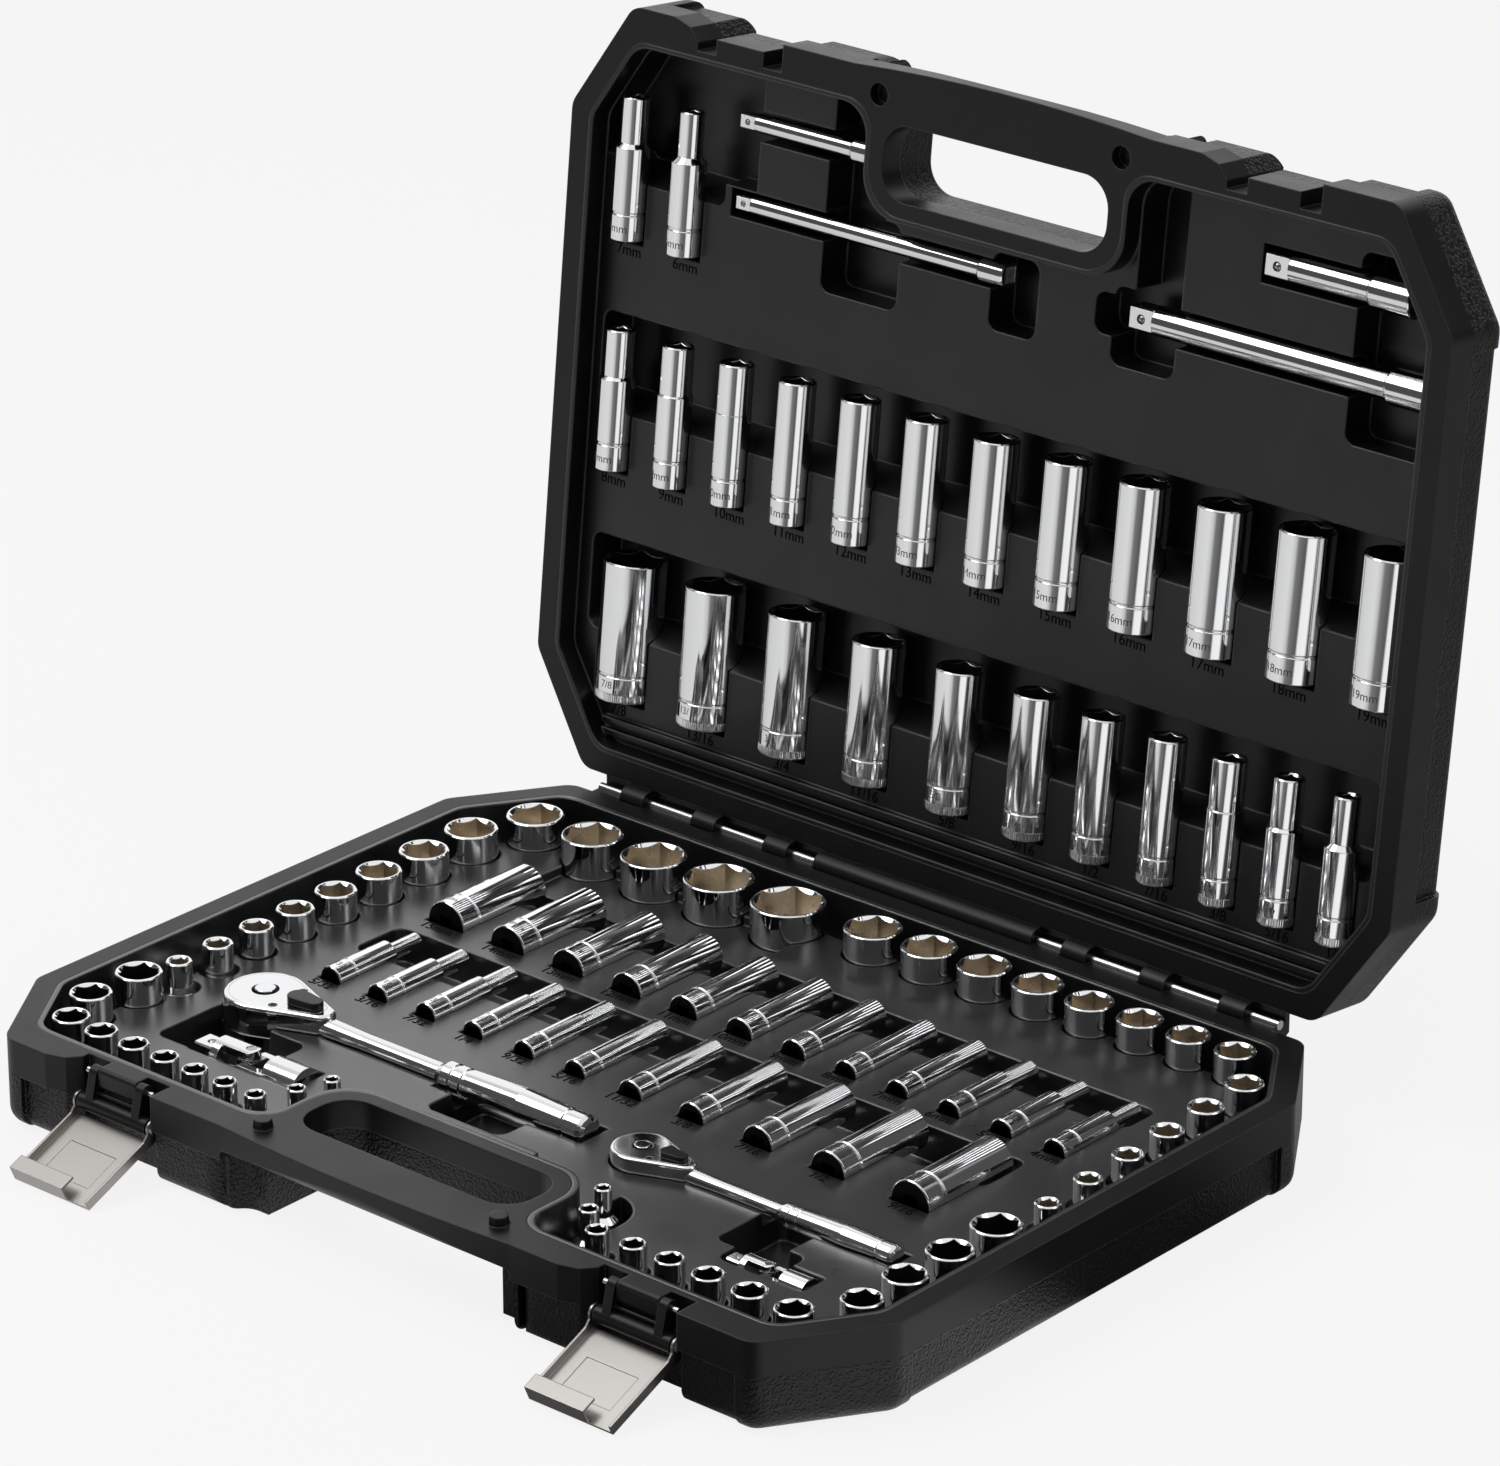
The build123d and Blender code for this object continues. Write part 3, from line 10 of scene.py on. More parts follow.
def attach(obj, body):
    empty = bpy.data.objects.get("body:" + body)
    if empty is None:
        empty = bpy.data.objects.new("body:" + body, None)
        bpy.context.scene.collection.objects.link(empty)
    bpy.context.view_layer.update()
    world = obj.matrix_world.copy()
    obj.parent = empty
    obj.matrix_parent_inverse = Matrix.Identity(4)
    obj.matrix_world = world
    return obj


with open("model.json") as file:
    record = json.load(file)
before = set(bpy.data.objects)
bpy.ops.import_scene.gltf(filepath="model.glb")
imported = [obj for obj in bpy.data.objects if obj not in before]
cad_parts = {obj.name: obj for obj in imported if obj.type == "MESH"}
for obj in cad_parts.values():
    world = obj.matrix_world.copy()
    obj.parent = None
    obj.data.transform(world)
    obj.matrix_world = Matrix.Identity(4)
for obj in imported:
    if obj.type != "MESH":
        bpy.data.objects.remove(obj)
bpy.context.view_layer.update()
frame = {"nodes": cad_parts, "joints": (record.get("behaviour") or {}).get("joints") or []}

# Case halves: two mouldings of black plastic that meet at the rim, hinged at the back.
# Their walls are pebbled below a smooth band beside the rim; every edge is a little round and has a painted
# highlight.

MM = 0.001
CASE_BLACK = (0.0050, 0.0050, 0.0054, 1.0)
CASE_GLOSS = (0.34, 0.42)
CASE_SHEEN = 0.32
CASE_EDGE = 0.9 * MM
CASE_PEBBLE = 0.55
SMOOTH_PEBBLE = 0.01
CLOUD_LIGHT = 1.5
# Light grey painted along the rounded edges of the plastics as a highlight.
EDGE_HIGHLIGHT_GREY = (0.055, 0.055, 0.058, 1.0)
BASE_RIM_Z = 38.0 * MM
BAND = 15.0 * MM
BAND_FADE = 1.0 * MM
lid_hinge = next(j for j in frame["joints"] if j["name"] == "lid_hinge")
HINGE = Vector(lid_hinge["pos_m"])
LID_OPEN = radians(lid_hinge["range_deg"][1])
LID_DOWN = Vector((0.0, cos(LID_OPEN), -sin(LID_OPEN)))
LID_IN = Vector((0.0, sin(LID_OPEN), cos(LID_OPEN)))
base_face = Vector((0.0, 0.0, BASE_RIM_Z))
BASE_HALF = (base_face, Vector((0.0, 0.0, -1.0)))
LID_HALF = (HINGE, LID_IN)


def node(tree, kind, inputs=None, **settings):
    """Add a shader node: settings go on the node, inputs are values or sockets to link."""
    made = tree.nodes.new("ShaderNode" + kind)
    for key, value in settings.items():
        setattr(made, key, value)
    for key, value in (inputs or {}).items():
        if isinstance(value, bpy.types.NodeSocket):
            tree.links.new(value, made.inputs[key])
        else:
            made.inputs[key].default_value = value
    return made


def effect(name, inputs, outputs):
    """A shader node group for an effect that several finishes share, with its named sockets."""
    tree = bpy.data.node_groups.new(name, "ShaderNodeTree")
    for key, kind in inputs:
        tree.interface.new_socket(key, in_out="INPUT", socket_type=kind)
    for key, kind in outputs:
        tree.interface.new_socket(key, in_out="OUTPUT", socket_type=kind)
    return tree, tree.nodes.new("NodeGroupInput").outputs, tree.nodes.new("NodeGroupOutput").inputs


def finish(name):
    """A new node material: its tree, and the shader that its maps feed."""
    made = bpy.data.materials.new(name)
    made.use_nodes = True
    tree = made.node_tree
    return made, tree, tree.nodes["Principled BSDF"]


def wear(material, *names):
    """Give CAD nodes a finish."""
    for name in names:
        frame["nodes"][name].data.materials.clear()
        frame["nodes"][name].data.materials.append(material)


moulded, given, put = effect(
    "moulded_grain",
    [("Place", "NodeSocketVector"), ("Pebble", "NodeSocketFloat"), ("Dark", "NodeSocketColor"),
     ("Light", "NodeSocketColor"), ("Least", "NodeSocketFloat"), ("Most", "NodeSocketFloat")],
    [("Colour", "NodeSocketColor"), ("Rough", "NodeSocketFloat"), ("Height", "NodeSocketFloat")],
)
drift = node(moulded, "TexNoise", {"Vector": given["Place"], "Scale": 420.0, "Detail": 1.0})
nudge = node(moulded, "VectorMath", {0: drift.outputs["Color"], 1: (1.8 * MM,) * 3}, operation="MULTIPLY")
warped = node(moulded, "VectorMath", {0: given["Place"], 1: nudge.outputs[0]}, operation="ADD")
cells = node(moulded, "TexVoronoi", {"Vector": warped.outputs[0], "Scale": 700.0, "Smoothness": 0.35},
             feature="SMOOTH_F1")
domes = node(moulded, "MapRange", {"Value": cells.outputs["Distance"], "From Min": 0.15, "From Max": 0.65,
                                   "To Min": 1.0, "To Max": 0.0}, interpolation_type="SMOOTHSTEP")
fine = node(moulded, "TexNoise", {"Vector": given["Place"], "Scale": 2600.0, "Detail": 2.0})
cloud = node(moulded, "TexNoise", {"Vector": given["Place"], "Scale": 38.0, "Detail": 3.0})
hills = node(moulded, "Math", {0: domes.outputs["Result"], 1: given["Pebble"]}, operation="MULTIPLY")
dust = node(moulded, "Math", {0: fine.outputs["Fac"], 1: 0.03}, operation="MULTIPLY")
relief = node(moulded, "Math", {0: hills.outputs[0], 1: dust.outputs[0]}, operation="ADD")
tint = node(moulded, "Mix", {0: cloud.outputs["Fac"], 6: given["Dark"], 7: given["Light"]}, data_type="RGBA")
rough = node(moulded, "MapRange", {"Value": cloud.outputs["Fac"], "From Min": 0.3, "From Max": 0.7,
                                   "To Min": given["Least"], "To Max": given["Most"]})
moulded.links.new(tint.outputs[2], put["Colour"])
moulded.links.new(rough.outputs["Result"], put["Rough"])
moulded.links.new(relief.outputs[0], put["Height"])


def moulded_plastic(name, black, half, round_edge, gloss, sheen=CASE_SHEEN, pebble=SMOOTH_PEBBLE,
                    grain_from=0.0):
    """Black moulded plastic with a painted highlight on its rounded edges, pebbled from a depth below the
    joint face of its half.
    """
    joint_face, inward = half
    made, tree, shader = finish(name)
    place = node(tree, "TexCoord").outputs["Object"]
    below = node(tree, "VectorMath", {0: place, 1: joint_face}, operation="SUBTRACT").outputs[0]
    depth = node(tree, "VectorMath", {0: below, 1: inward}, operation="DOT_PRODUCT").outputs["Value"]
    mask = node(tree, "MapRange", {"Value": depth, "From Min": grain_from, "From Max": BAND})
    strength = node(tree, "Math", {0: mask.outputs["Result"], 1: pebble}, operation="MULTIPLY")
    light = tuple(CLOUD_LIGHT * c for c in black[:3]) + (1.0,)
    maps = node(tree, "Group", {"Place": place, "Pebble": strength.outputs[0], "Dark": black, "Light": light,
                                "Least": gloss[0], "Most": gloss[1]}, node_tree=moulded).outputs
    soft = node(tree, "Bevel", {"Radius": round_edge}, samples=6)
    bump = node(tree, "Bump", {"Strength": 0.9, "Distance": 0.5 * MM, "Height": maps["Height"],
                               "Normal": soft.outputs[0]})
    flat = node(tree, "NewGeometry").outputs["Normal"]
    level = node(tree, "VectorMath", {0: soft.outputs[0], 1: flat}, operation="DOT_PRODUCT").outputs["Value"]
    # Painted highlight: the colour turns light grey where the rounded-edge normal leans away from the face's
    # own normal.
    edge = node(tree, "MapRange", {"Value": level, "From Min": 0.995, "From Max": 0.86})
    painted_edge_highlight = node(tree, "Mix", {0: edge.outputs["Result"], 6: maps["Colour"], 7: EDGE_HIGHLIGHT_GREY},
                     data_type="RGBA")
    tree.links.new(painted_edge_highlight.outputs[2], shader.inputs["Base Color"])
    tree.links.new(maps["Rough"], shader.inputs["Roughness"])
    tree.links.new(bump.outputs[0], shader.inputs["Normal"])
    shader.inputs["Specular IOR Level"].default_value = sheen
    return made


for name, half in (("base", BASE_HALF), ("lid", LID_HALF)):
    case_black = moulded_plastic(f"{name}_case_black", CASE_BLACK, half, CASE_EDGE, CASE_GLOSS,
                                 pebble=CASE_PEBBLE, grain_from=BAND - BAND_FADE)
    wear(case_black, f"{name}_shell")

# Trays: thin black mouldings pressed into the halves, with beds, troughs and finger wells.
# Their decks are satin smooth, and the edges of the pads are rounder than the case's.

TRAY_BLACK = (0.0042, 0.0042, 0.0045, 1.0)
TRAY_EDGE = 1.4 * MM
BASE_TRAY_GLOSS = (0.27, 0.35)
LID_TRAY_GLOSS = (0.30, 0.38)
BASE_TRAY_INDEX = 1.68
base_tray_black = moulded_plastic("base_tray_black", TRAY_BLACK, BASE_HALF, TRAY_EDGE, BASE_TRAY_GLOSS,
                                  sheen=1.0)
base_tray_black.node_tree.nodes["Principled BSDF"].inputs["IOR"].default_value = BASE_TRAY_INDEX
wear(base_tray_black, "base_tray")
lid_tray_black = moulded_plastic("lid_tray_black", TRAY_BLACK, LID_HALF, TRAY_EDGE, LID_TRAY_GLOSS,
                                 sheen=0.5)
wear(lid_tray_black, "lid_tray")

# Hinge pins, latch pins and rivets: drawn steel wire and turned rivets, bright and lightly scratched.
# The pins sit in the knuckles and lugs, and the rivets are headed over the plate's ears.

PIN_STEEL = (0.62, 0.61, 0.59, 1.0)
SCUFF_DEPTH = 0.02 * MM
handled, given, put = effect(
    "handled_metal",
    [("Place", "NodeSocketVector"), ("Least", "NodeSocketFloat"), ("Most", "NodeSocketFloat")],
    [("Rough", "NodeSocketFloat"), ("Height", "NodeSocketFloat")],
)
smudge = node(handled, "TexNoise", {"Vector": given["Place"], "Scale": 60.0, "Detail": 4.0,
                                    "Roughness": 0.6})
haze = node(handled, "MapRange", {"Value": smudge.outputs["Fac"], "From Min": 0.35, "From Max": 0.7,
                                  "To Min": given["Least"], "To Max": given["Most"]})
scuffs = node(handled, "TexNoise", {"Vector": given["Place"], "Scale": 900.0, "Detail": 3.0})
handled.links.new(haze.outputs["Result"], put["Rough"])
handled.links.new(scuffs.outputs["Fac"], put["Height"])


def metal(name, colour, least, most, scratch, round_edge):
    """Bare or plated metal whose roughness smudges between two values, with faint scuffs."""
    made, tree, shader = finish(name)
    place = node(tree, "TexCoord").outputs["Object"]
    maps = node(tree, "Group", {"Place": place, "Least": least, "Most": most}, node_tree=handled).outputs
    soft = node(tree, "Bevel", {"Radius": round_edge}, samples=6)
    bump = node(tree, "Bump", {"Strength": scratch, "Distance": SCUFF_DEPTH, "Height": maps["Height"],
                               "Normal": soft.outputs[0]})
    shader.inputs["Base Color"].default_value = colour
    shader.inputs["Metallic"].default_value = 1.0
    tree.links.new(maps["Rough"], shader.inputs["Roughness"])
    tree.links.new(bump.outputs[0], shader.inputs["Normal"])
    return made


pin_steel = metal("pin_steel", PIN_STEEL, 0.16, 0.34, 0.3, 0.2 * MM)
wear(pin_steel, "hinge_pins", "latch_pins", "latch_rivet_left", "latch_rivet_right")

# Latch links: short black mouldings that carry the plates, with two arms and a barrel for the rivet.
# They have the case's plastic without its pebbles.

LINK_EDGE = 0.5 * MM
link_black = moulded_plastic("link_black", CASE_BLACK, BASE_HALF, LINK_EDGE, CASE_GLOSS)
wear(link_black, "latch_link_left", "latch_link_right")

# Latch plates: pressed stainless sheet with folded side flanges and a hooked lip, brushed along its length.
# Each hangs on its link by a rivet through two ears.

PLATE_STEEL = (0.40, 0.385, 0.365, 1.0)
PLATE_EDGE = 0.5 * MM
BRUSHED = (3200.0, 60.0, 60.0)
latch_steel, tree, shader = finish("latch_steel")
place = node(tree, "TexCoord").outputs["Object"]
stretch = node(tree, "Mapping", {"Vector": place, "Scale": BRUSHED})
strokes = node(tree, "TexNoise", {"Vector": stretch.outputs[0], "Scale": 1.0, "Detail": 3.0})
gloss = node(tree, "MapRange", {"Value": strokes.outputs["Fac"], "To Min": 0.26, "To Max": 0.44})
soft = node(tree, "Bevel", {"Radius": PLATE_EDGE}, samples=6)
bump = node(tree, "Bump", {"Strength": 0.12, "Distance": SCUFF_DEPTH, "Height": strokes.outputs["Fac"],
                           "Normal": soft.outputs[0]})
shader.inputs["Base Color"].default_value = PLATE_STEEL
shader.inputs["Metallic"].default_value = 1.0
tree.links.new(gloss.outputs["Result"], shader.inputs["Roughness"])
tree.links.new(bump.outputs[0], shader.inputs["Normal"])
wear(latch_steel, "latch_plate_left", "latch_plate_right")

# Sockets: forged, bored and plated with bright chrome, one node for each series of sizes.
# The plating is a mirror outside, with black painted shade on the square drive ends. It is thin and brownish
# down the wide mouths of the standing sockets, and a dark painted shade lies down the narrow and the deep
# ones.

SOCKET_CHROME = (0.86, 0.865, 0.875, 1.0)
MOUTH_BROWN = (0.80, 0.73, 0.63, 1.0)
# Painted shade: a dark colour down the mouths of the narrow and the deep sockets.
MOUTH_SHADE_DARK = (0.09, 0.085, 0.08, 1.0)
# Painted shade: black in the square drive holes and on the drive ends' faces.
DRIVE_SHADE_BLACK = (0.02, 0.02, 0.02, 1.0)
SOCKET_EDGE = 0.5 * MM
BORE_EDGE = 0.3 * MM
BORE_REACH = 0.37
MOUTH_START = 0.42
FLAT = 0.9
socket_chrome = metal("socket_chrome", SOCKET_CHROME, 0.035, 0.09, 0.03, SOCKET_EDGE)
mouth_brown = metal("mouth_brown", MOUTH_BROWN, 0.20, 0.34, 0.1, BORE_EDGE)
# Dark painted shade down the narrow and deep sockets' mouths.
mouth_painted_shade = metal("mouth_painted_shade", MOUTH_SHADE_DARK, 0.30, 0.42, 0.1, BORE_EDGE)
# Black painted shade for the drive ends.
drive_painted_shade = metal("drive_painted_shade", DRIVE_SHADE_BLACK, 0.3, 0.5, 0.15, BORE_EDGE)
base_plane = Matrix.Translation(base_face)
lid_turn = Matrix((Vector((1.0, 0.0, 0.0)), LID_DOWN, LID_IN)).transposed()
lid_plane = Matrix.Translation(HINGE - LID_DOWN * HINGE.y) @ lid_turn.to_4x4()


def loose_boxes(name, plane):
    """Lowest and highest corners of each solid of a node in a plane's own axes, from left to right."""
    work = bmesh.new()
    work.from_mesh(frame["nodes"][name].data)
    work.transform(plane.inverted())
    bmesh.ops.remove_doubles(work, verts=work.verts, dist=0.001 * MM)
    left = set(work.verts)
    found = []
    while left:
        grown = [left.pop()]
        corners = [grown[0].co.copy()]
        while grown:
            for edge in grown.pop().link_edges:
                for vert in edge.verts:
                    if vert in left:
                        left.discard(vert)
                        grown.append(vert)
                        corners.append(vert.co.copy())
        low = Vector(min(c[i] for c in corners) for i in range(3))
        high = Vector(max(c[i] for c in corners) for i in range(3))
        found.append((low, high))
    work.free()
    return sorted(found, key=lambda pair: pair[0].x + pair[1].x)


def bore(name, plane, along, mouth_high, mouth_tint_or_shade):
    """Give the faces inside each socket, which lies along an axis of a plane, the mouth material passed in,
    and a black painted shade in its drive hole and on its drive end.
    """
    shape = frame["nodes"][name].data
    for inside in (mouth_tint_or_shade, drive_painted_shade):
        shape.materials.append(inside)
    boxes = loose_boxes(name, plane)
    across = [i for i in range(3) if i != along]
    to_plane = plane.inverted()
    for face in shape.polygons:
        spot = to_plane @ face.center
        facing = to_plane.to_3x3() @ face.normal
        low, high = min(boxes, key=lambda box: sum((2 * spot - box[0] - box[1])[i] ** 2 for i in across))
        out = spot - (low + high) / 2
        out[along] = 0.0
        share = (spot[along] - low[along]) / (high[along] - low[along])
        mouth = (share > MOUTH_START) == mouth_high
        wall = facing.dot(out) < (-0.8 if mouth else -0.6) * out.length
        square = abs(facing[along]) > FLAT
        floor = square and 0.05 < share < 0.95 and out.length < BORE_REACH * (high - low)[across[0]]
        drive_face = square and not mouth
        if wall or floor or drive_face:
            face.material_index = 1 if mouth else 2


SERIES = [n for n in frame["nodes"] if n.startswith(("sockets_", "deep_"))]
wear(socket_chrome, *SERIES)
# The wide standing sockets' mouths get the brownish plating; every other mouth gets a dark painted shade.
for name in SERIES:
    if name.startswith("sockets_"):
        bore(name, base_plane, 2, True, mouth_brown if "_38_" in name else mouth_painted_shade)
    elif name.startswith("deep_14"):
        bore(name, base_plane, 1, True, mouth_painted_shade)
    else:
        bore(name, lid_plane, 1, False, mouth_painted_shade)

# Ratchets, universal joints and extension bars: polished chrome on forged steel.
# Balls, crosses and pawls are bare ground steel; gears, cover screws and reversing levers are black.

TOOL_CHROME = (0.78, 0.785, 0.795, 1.0)
GROUND_STEEL = (0.42, 0.41, 0.40, 1.0)
BLACK_STEEL = (0.05, 0.05, 0.05, 1.0)
LEVER_BLACK = (0.006, 0.006, 0.006, 1.0)
tool_chrome = metal("tool_chrome", TOOL_CHROME, 0.05, 0.13, 0.05, 0.3 * MM)
ground_steel = metal("ground_steel", GROUND_STEEL, 0.2, 0.36, 0.2, 0.15 * MM)
black_steel = metal("black_steel", BLACK_STEEL, 0.25, 0.4, 0.1, 0.1 * MM)
lever_black = moulded_plastic("lever_black", LEVER_BLACK, BASE_HALF, 0.4 * MM, (0.26, 0.36))
GROUND_ENDINGS = ("_ball", "_cross", "_pawl")
BLACK_ENDINGS = ("_gear", "_screws")
tools = [n for n in frame["nodes"] if n.startswith(("ratchet_", "joint_", "bar_"))]
wear(ground_steel, *[n for n in tools if n.endswith(GROUND_ENDINGS)])
wear(black_steel, *[n for n in tools if n.endswith(BLACK_ENDINGS)])
wear(lever_black, *[n for n in tools if n.endswith("_lever")])
wear(tool_chrome, *[n for n in tools if not n.endswith(GROUND_ENDINGS + BLACK_ENDINGS + ("_lever",))])

# Size marks: plain numbers moulded on the decks beside the drive ends of the lying sockets.
# Each is a third of a millimetre thick and half sunk in the deck, in a duller black than the tray's.

MARK_BLACK = (0.0025, 0.0025, 0.0025, 1.0)
MARK_EDGE = 0.05 * MM
MARK_HEIGHT = 5.0 * MM
LINE_SHARE = 1.35
MARK_RELIEF = 0.3 * MM
MARK_GAP = 5.4 * MM
BASE_DECK = 12.0 * MM
LID_DECK = 10.0 * MM


def lettering(words, height, relief):
    """A mesh of one size mark, lying on XY with its middle at the origin."""
    line = bpy.data.curves.new("mark", "FONT")
    line.body = words
    line.size = height * LINE_SHARE
    line.align_x = "CENTER"
    line.align_y = "CENTER"
    line.extrude = relief / 2
    line.resolution_u = 3
    holder = bpy.data.objects.new("mark", line)
    bpy.context.scene.collection.objects.link(holder)
    bpy.context.view_layer.update()
    shape = bpy.data.meshes.new_from_object(holder.evaluated_get(bpy.context.evaluated_depsgraph_get()))
    bpy.data.objects.remove(holder)
    bpy.data.curves.remove(line)
    return shape


def piece(name, work, material, body):
    """Make a finished bmesh an object that rides on a body."""
    shape = bpy.data.meshes.new(name)
    work.to_mesh(shape)
    work.free()
    shape.materials.append(material)
    made = bpy.data.objects.new(name, shape)
    bpy.context.scene.collection.objects.link(made)
    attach(made, body)


def deck_marks(name, rows, plane, facing, deck, body, material):
    """All size marks on one deck: each row is a node of lying sockets and its words from left to right."""
    work = bmesh.new()
    for series, words in rows:
        for (low, high), text in zip(loose_boxes(series, plane), words):
            drive_end = low.y - MARK_GAP if facing > 0 else high.y + MARK_GAP
            turn = Matrix.Diagonal((1.0, facing, facing, 1.0))
            place = Matrix.Translation(((low.x + high.x) / 2, drive_end, deck)) @ turn
            shape = lettering(text, MARK_HEIGHT, MARK_RELIEF)
            shape.transform(plane @ place)
            work.from_mesh(shape)
            bpy.data.meshes.remove(shape)
    piece(name, work, material, body)


def inch(*counts, part):
    """Words for inch sizes given as counts of a part of an inch."""
    return [str(Fraction(n, part)) for n in counts]


base_rows = (
    ("deep_14_metric", [f"{n}mm" for n in range(15, 3, -1)]),
    ("deep_14_inch", inch(5, 6, 7, 8, 9, 10, 11, 12, 14, 16, 18, part=32)),
)
lid_rows = (
    ("deep_38_metric", [f"{n}mm" for n in range(8, 20)]),
    ("deep_38_pair", ["7mm", "6mm"]),
    ("deep_38_inch", inch(14, 13, 12, 11, 10, 9, 8, 7, 6, 5, 4, part=16)),
)
mark_black = moulded_plastic("mark_black", MARK_BLACK, BASE_HALF, MARK_EDGE, (0.75, 0.85), sheen=0.1)
deck_marks("base_size_marks", base_rows, base_plane, 1, -BASE_DECK, "base", mark_black)
deck_marks("lid_size_marks", lid_rows, lid_plane, -1, LID_DECK, "lid", mark_black)

# Etched sizes and knurled bands: plain numbers rolled into the chrome near each lying socket's drive end,
# and a finely toothed band round the drive ends of the inch sockets in the lid.

ETCH_GREY = (0.16, 0.16, 0.16, 1.0)
ETCH_EDGE = 0.02 * MM
ETCH_RELIEF = 0.04 * MM
etch_grey = metal("etch_grey", ETCH_GREY, 0.35, 0.5, 0.1, ETCH_EDGE)


def etched(name, rows, plane, facing, height, from_end, body):
    """Size numbers bent round the drive ends of lying sockets: one node and its words for each row."""
    work = bmesh.new()
    for series, words in rows:
        for (low, high), text in zip(loose_boxes(series, plane), words):
            r = (high.x - low.x) / 2
            end = low.y + from_end if facing > 0 else high.y - from_end
            shape = lettering(text, height, ETCH_RELIEF)
            for vert in shape.vertices:
                turn = vert.co.x / r
                out = r + vert.co.z + ETCH_RELIEF / 4
                vert.co = (
                    (low.x + high.x) / 2 + out * sin(turn),
                    end + facing * vert.co.y,
                    (low.z + high.z) / 2 + facing * out * cos(turn),
                )
            shape.transform(plane)
            work.from_mesh(shape)
            bpy.data.meshes.remove(shape)
    piece(name, work, etch_grey, body)


etched("base_etched_sizes", base_rows, base_plane, 1, 3.2 * MM, 4.6 * MM, "base")
etched("lid_etched_metric", lid_rows[:2], lid_plane, -1, 3.8 * MM, 5.4 * MM, "lid")
etched("lid_etched_inch", lid_rows[2:], lid_plane, -1, 3.4 * MM, 7.6 * MM, "lid")

KNURL_PITCH = 0.9 * MM
KNURL_TOOTH = 0.16 * MM
KNURL_SINK = 0.02 * MM
KNURL_LENGTH = 2.8 * MM
KNURL_RUNOUT = 0.4 * MM
KNURL_FROM_END = 2.4 * MM
work = bmesh.new()
for low, high in loose_boxes("deep_38_inch", lid_plane):
    r = (high.x - low.x) / 2
    count = 2 * round(2 * pi * r / KNURL_PITCH)
    root = r - KNURL_SINK
    band = bmesh.ops.create_cone(work, cap_ends=False, segments=count, radius1=root, radius2=root,
                                 depth=KNURL_LENGTH)["verts"]
    rims = {edge for vert in band for edge in vert.link_edges if edge.is_boundary}
    grown = bmesh.ops.extrude_edge_only(work, edges=list(rims))["geom"]
    ends = [part for part in grown if isinstance(part, bmesh.types.BMVert)]
    for vert in ends:
        vert.co.z *= 1 + 2 * KNURL_RUNOUT / KNURL_LENGTH
    for vert in band:
        if round(atan2(vert.co.x, vert.co.y) * count / (2 * pi)) % 2:
            vert.co.xy *= (root + KNURL_TOOTH) / root
    place = Matrix.Translation(((low.x + high.x) / 2, high.y - KNURL_FROM_END, (low.z + high.z) / 2))
    bmesh.ops.transform(work, matrix=place @ Matrix.Rotation(pi / 2, 4, "X"), verts=band + ends)
bmesh.ops.recalc_face_normals(work, faces=work.faces)
work.transform(lid_plane)
piece("lid_inch_knurls", work, socket_chrome, "lid")

# Studio: a pale floor that keeps the object's soft shadow, a white surround and two large soft lamps.
# Bright metal sees the floor in light and dark bands by bearing in degrees, a white card behind the left
# side and a pale ceiling, so that round pieces show clear stripes.

FLOOR_HALF = 4.0
FLOOR_GREY = (0.82, 0.82, 0.82, 1.0)
WHITE = (1.0, 1.0, 1.0, 1.0)
SHOWN_WHITE = 0.86
FLOOR_BANDS = (
    (-180, 0.70), (-110, 0.78), (-90, 0.62), (-76, 0.20), (-44, 0.10), (-37, 0.95), (-8, 1.0),
    (0, 0.05), (20, 0.05), (32, 0.42), (110, 0.30), (135, 0.5), (180, 0.70),
)
FILL = 0.30
CARD_WAY = (-0.62, 0.71, 0.33)
CARD_LEVEL = 1.05
CEILING_LEVEL = 0.86
LEAST_LEVEL = 0.08
scene = bpy.context.scene
scene.view_settings.view_transform = "Standard"
work = bmesh.new()
bmesh.ops.create_grid(work, x_segments=1, y_segments=1, size=FLOOR_HALF)
floor_mesh = bpy.data.meshes.new("floor")
work.to_mesh(floor_mesh)
work.free()
floor = bpy.data.objects.new("floor", floor_mesh)
scene.collection.objects.link(floor)
floor_white, tree, shader = finish("floor_white")
shader.inputs["Base Color"].default_value = FLOOR_GREY
shader.inputs["Roughness"].default_value = 0.9
shader.inputs["Specular IOR Level"].default_value = 0.1
path = node(tree, "LightPath").outputs
glow = node(tree, "Emission", {"Color": WHITE, "Strength": 1.0})
share = node(tree, "Math", {0: path["Is Camera Ray"], 1: SHOWN_WHITE}, operation="MULTIPLY")
lit = node(tree, "MixShader", {0: share.outputs[0], 1: shader.outputs[0], 2: glow.outputs[0]})
spot = node(tree, "SeparateXYZ", {0: node(tree, "TexCoord").outputs["Object"]}).outputs
bearing = node(tree, "Math", {0: spot["Y"], 1: spot["X"]}, operation="ARCTAN2")
round_case = node(tree, "MapRange", {"Value": bearing.outputs[0], "From Min": -pi, "From Max": pi})
mirror = node(tree, "ValToRGB", {0: round_case.outputs["Result"]})
stops = mirror.color_ramp.elements
for degrees, _ in FLOOR_BANDS[1:-1]:
    stops.new((degrees + 180) / 360)
for stop, (_, level) in zip(stops, FLOOR_BANDS):
    stop.color = (level, level, level, 1.0)
shine = node(tree, "Emission", {"Color": mirror.outputs[0], "Strength": 1.0})
blend = node(tree, "MixShader", {0: path["Is Glossy Ray"], 1: lit.outputs[0], 2: shine.outputs[0]})
tree.links.new(blend.outputs[0], tree.nodes["Material Output"].inputs["Surface"])
floor_mesh.materials.append(floor_white)

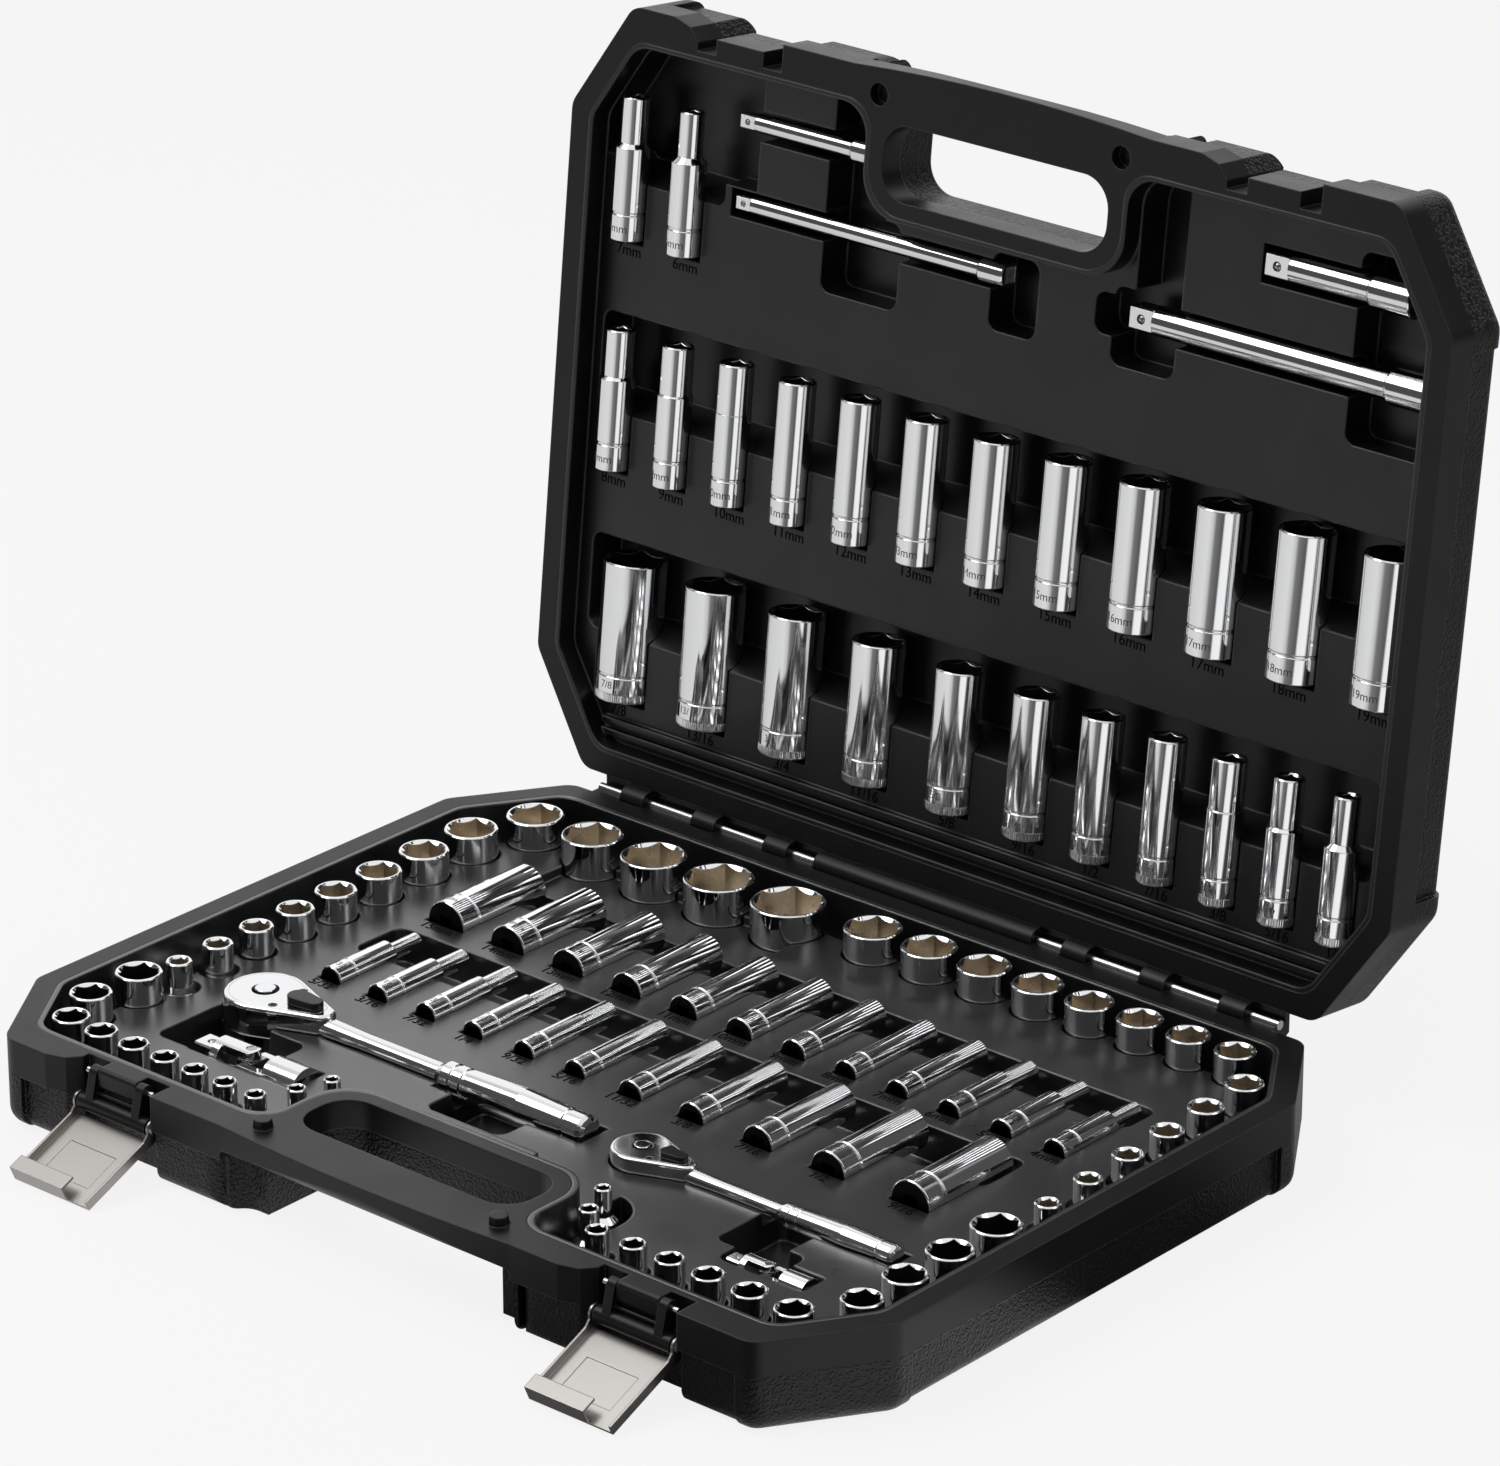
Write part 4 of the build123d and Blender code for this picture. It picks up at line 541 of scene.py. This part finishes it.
world = bpy.data.worlds.new("studio")
world.use_nodes = True
scene.world = world
tree = world.node_tree
path = node(tree, "LightPath").outputs
way = node(tree, "TexCoord").outputs["Generated"]
fill = node(tree, "Background", {"Color": WHITE, "Strength": FILL})
backdrop = node(tree, "Background", {"Color": WHITE, "Strength": 1.0})
toward = node(tree, "VectorMath", {0: way, 1: CARD_WAY}, operation="DOT_PRODUCT").outputs["Value"]
card = node(tree, "MapRange", {"Value": toward, "From Min": 0.55, "From Max": 0.85, "To Max": CARD_LEVEL})
height = node(tree, "SeparateXYZ", {0: way}).outputs["Z"]
ceiling = node(tree, "MapRange", {"Value": height, "From Min": 0.6, "From Max": 0.8,
                                  "To Max": CEILING_LEVEL})
both = node(tree, "Math", {0: card.outputs["Result"], 1: ceiling.outputs["Result"]}, operation="MAXIMUM")
level = node(tree, "Math", {0: both.outputs[0], 1: LEAST_LEVEL}, operation="ADD")
mirror = node(tree, "Background", {"Color": WHITE, "Strength": level.outputs[0]})
open_air = node(tree, "MixShader", {0: path["Is Camera Ray"], 1: fill.outputs[0], 2: backdrop.outputs[0]})
blend = node(tree, "MixShader", {0: path["Is Glossy Ray"], 1: open_air.outputs[0], 2: mirror.outputs[0]})
tree.links.new(blend.outputs[0], tree.nodes["World Output"].inputs["Surface"])


def softbox(name, place, aim, width, height, power):
    """A large rectangular lamp at a place, facing a point."""
    lamp = bpy.data.lights.new(name, "AREA")
    lamp.shape = "RECTANGLE"
    lamp.size = width
    lamp.size_y = height
    lamp.energy = power
    made = bpy.data.objects.new(name, lamp)
    made.location = place
    made.rotation_euler = (Vector(aim) - Vector(place)).to_track_quat("-Z", "Y").to_euler()
    scene.collection.objects.link(made)


MIDDLE = (0.0, 0.0, 0.15)
softbox("key_lamp", (-0.9, -0.7, 1.7), MIDDLE, 1.2, 1.2, 14.0)
softbox("side_lamp", (1.6, 0.5, 1.2), MIDDLE, 0.8, 1.2, 5.0)

# Camera: a long lens at the photograph's place and angle.
# The small shift keeps the photograph's framing.

CAMERA_PLACE = Vector((1.6133, -1.7977, 1.1925))
CAMERA_WAY = Vector((-0.60439, 0.69585, -0.38795))
LENS = 165.05
SENSOR = 36.0
SHIFT = (-0.0033, -0.0135)
FAR = 20.0
camera = bpy.data.cameras.new("camera")
camera.lens = LENS
camera.sensor_width = SENSOR
camera.shift_x, camera.shift_y = SHIFT
camera.clip_end = FAR
viewer = bpy.data.objects.new("camera", camera)
viewer.location = CAMERA_PLACE
viewer.rotation_euler = CAMERA_WAY.to_track_quat("-Z", "Y").to_euler()
scene.collection.objects.link(viewer)
scene.camera = viewer
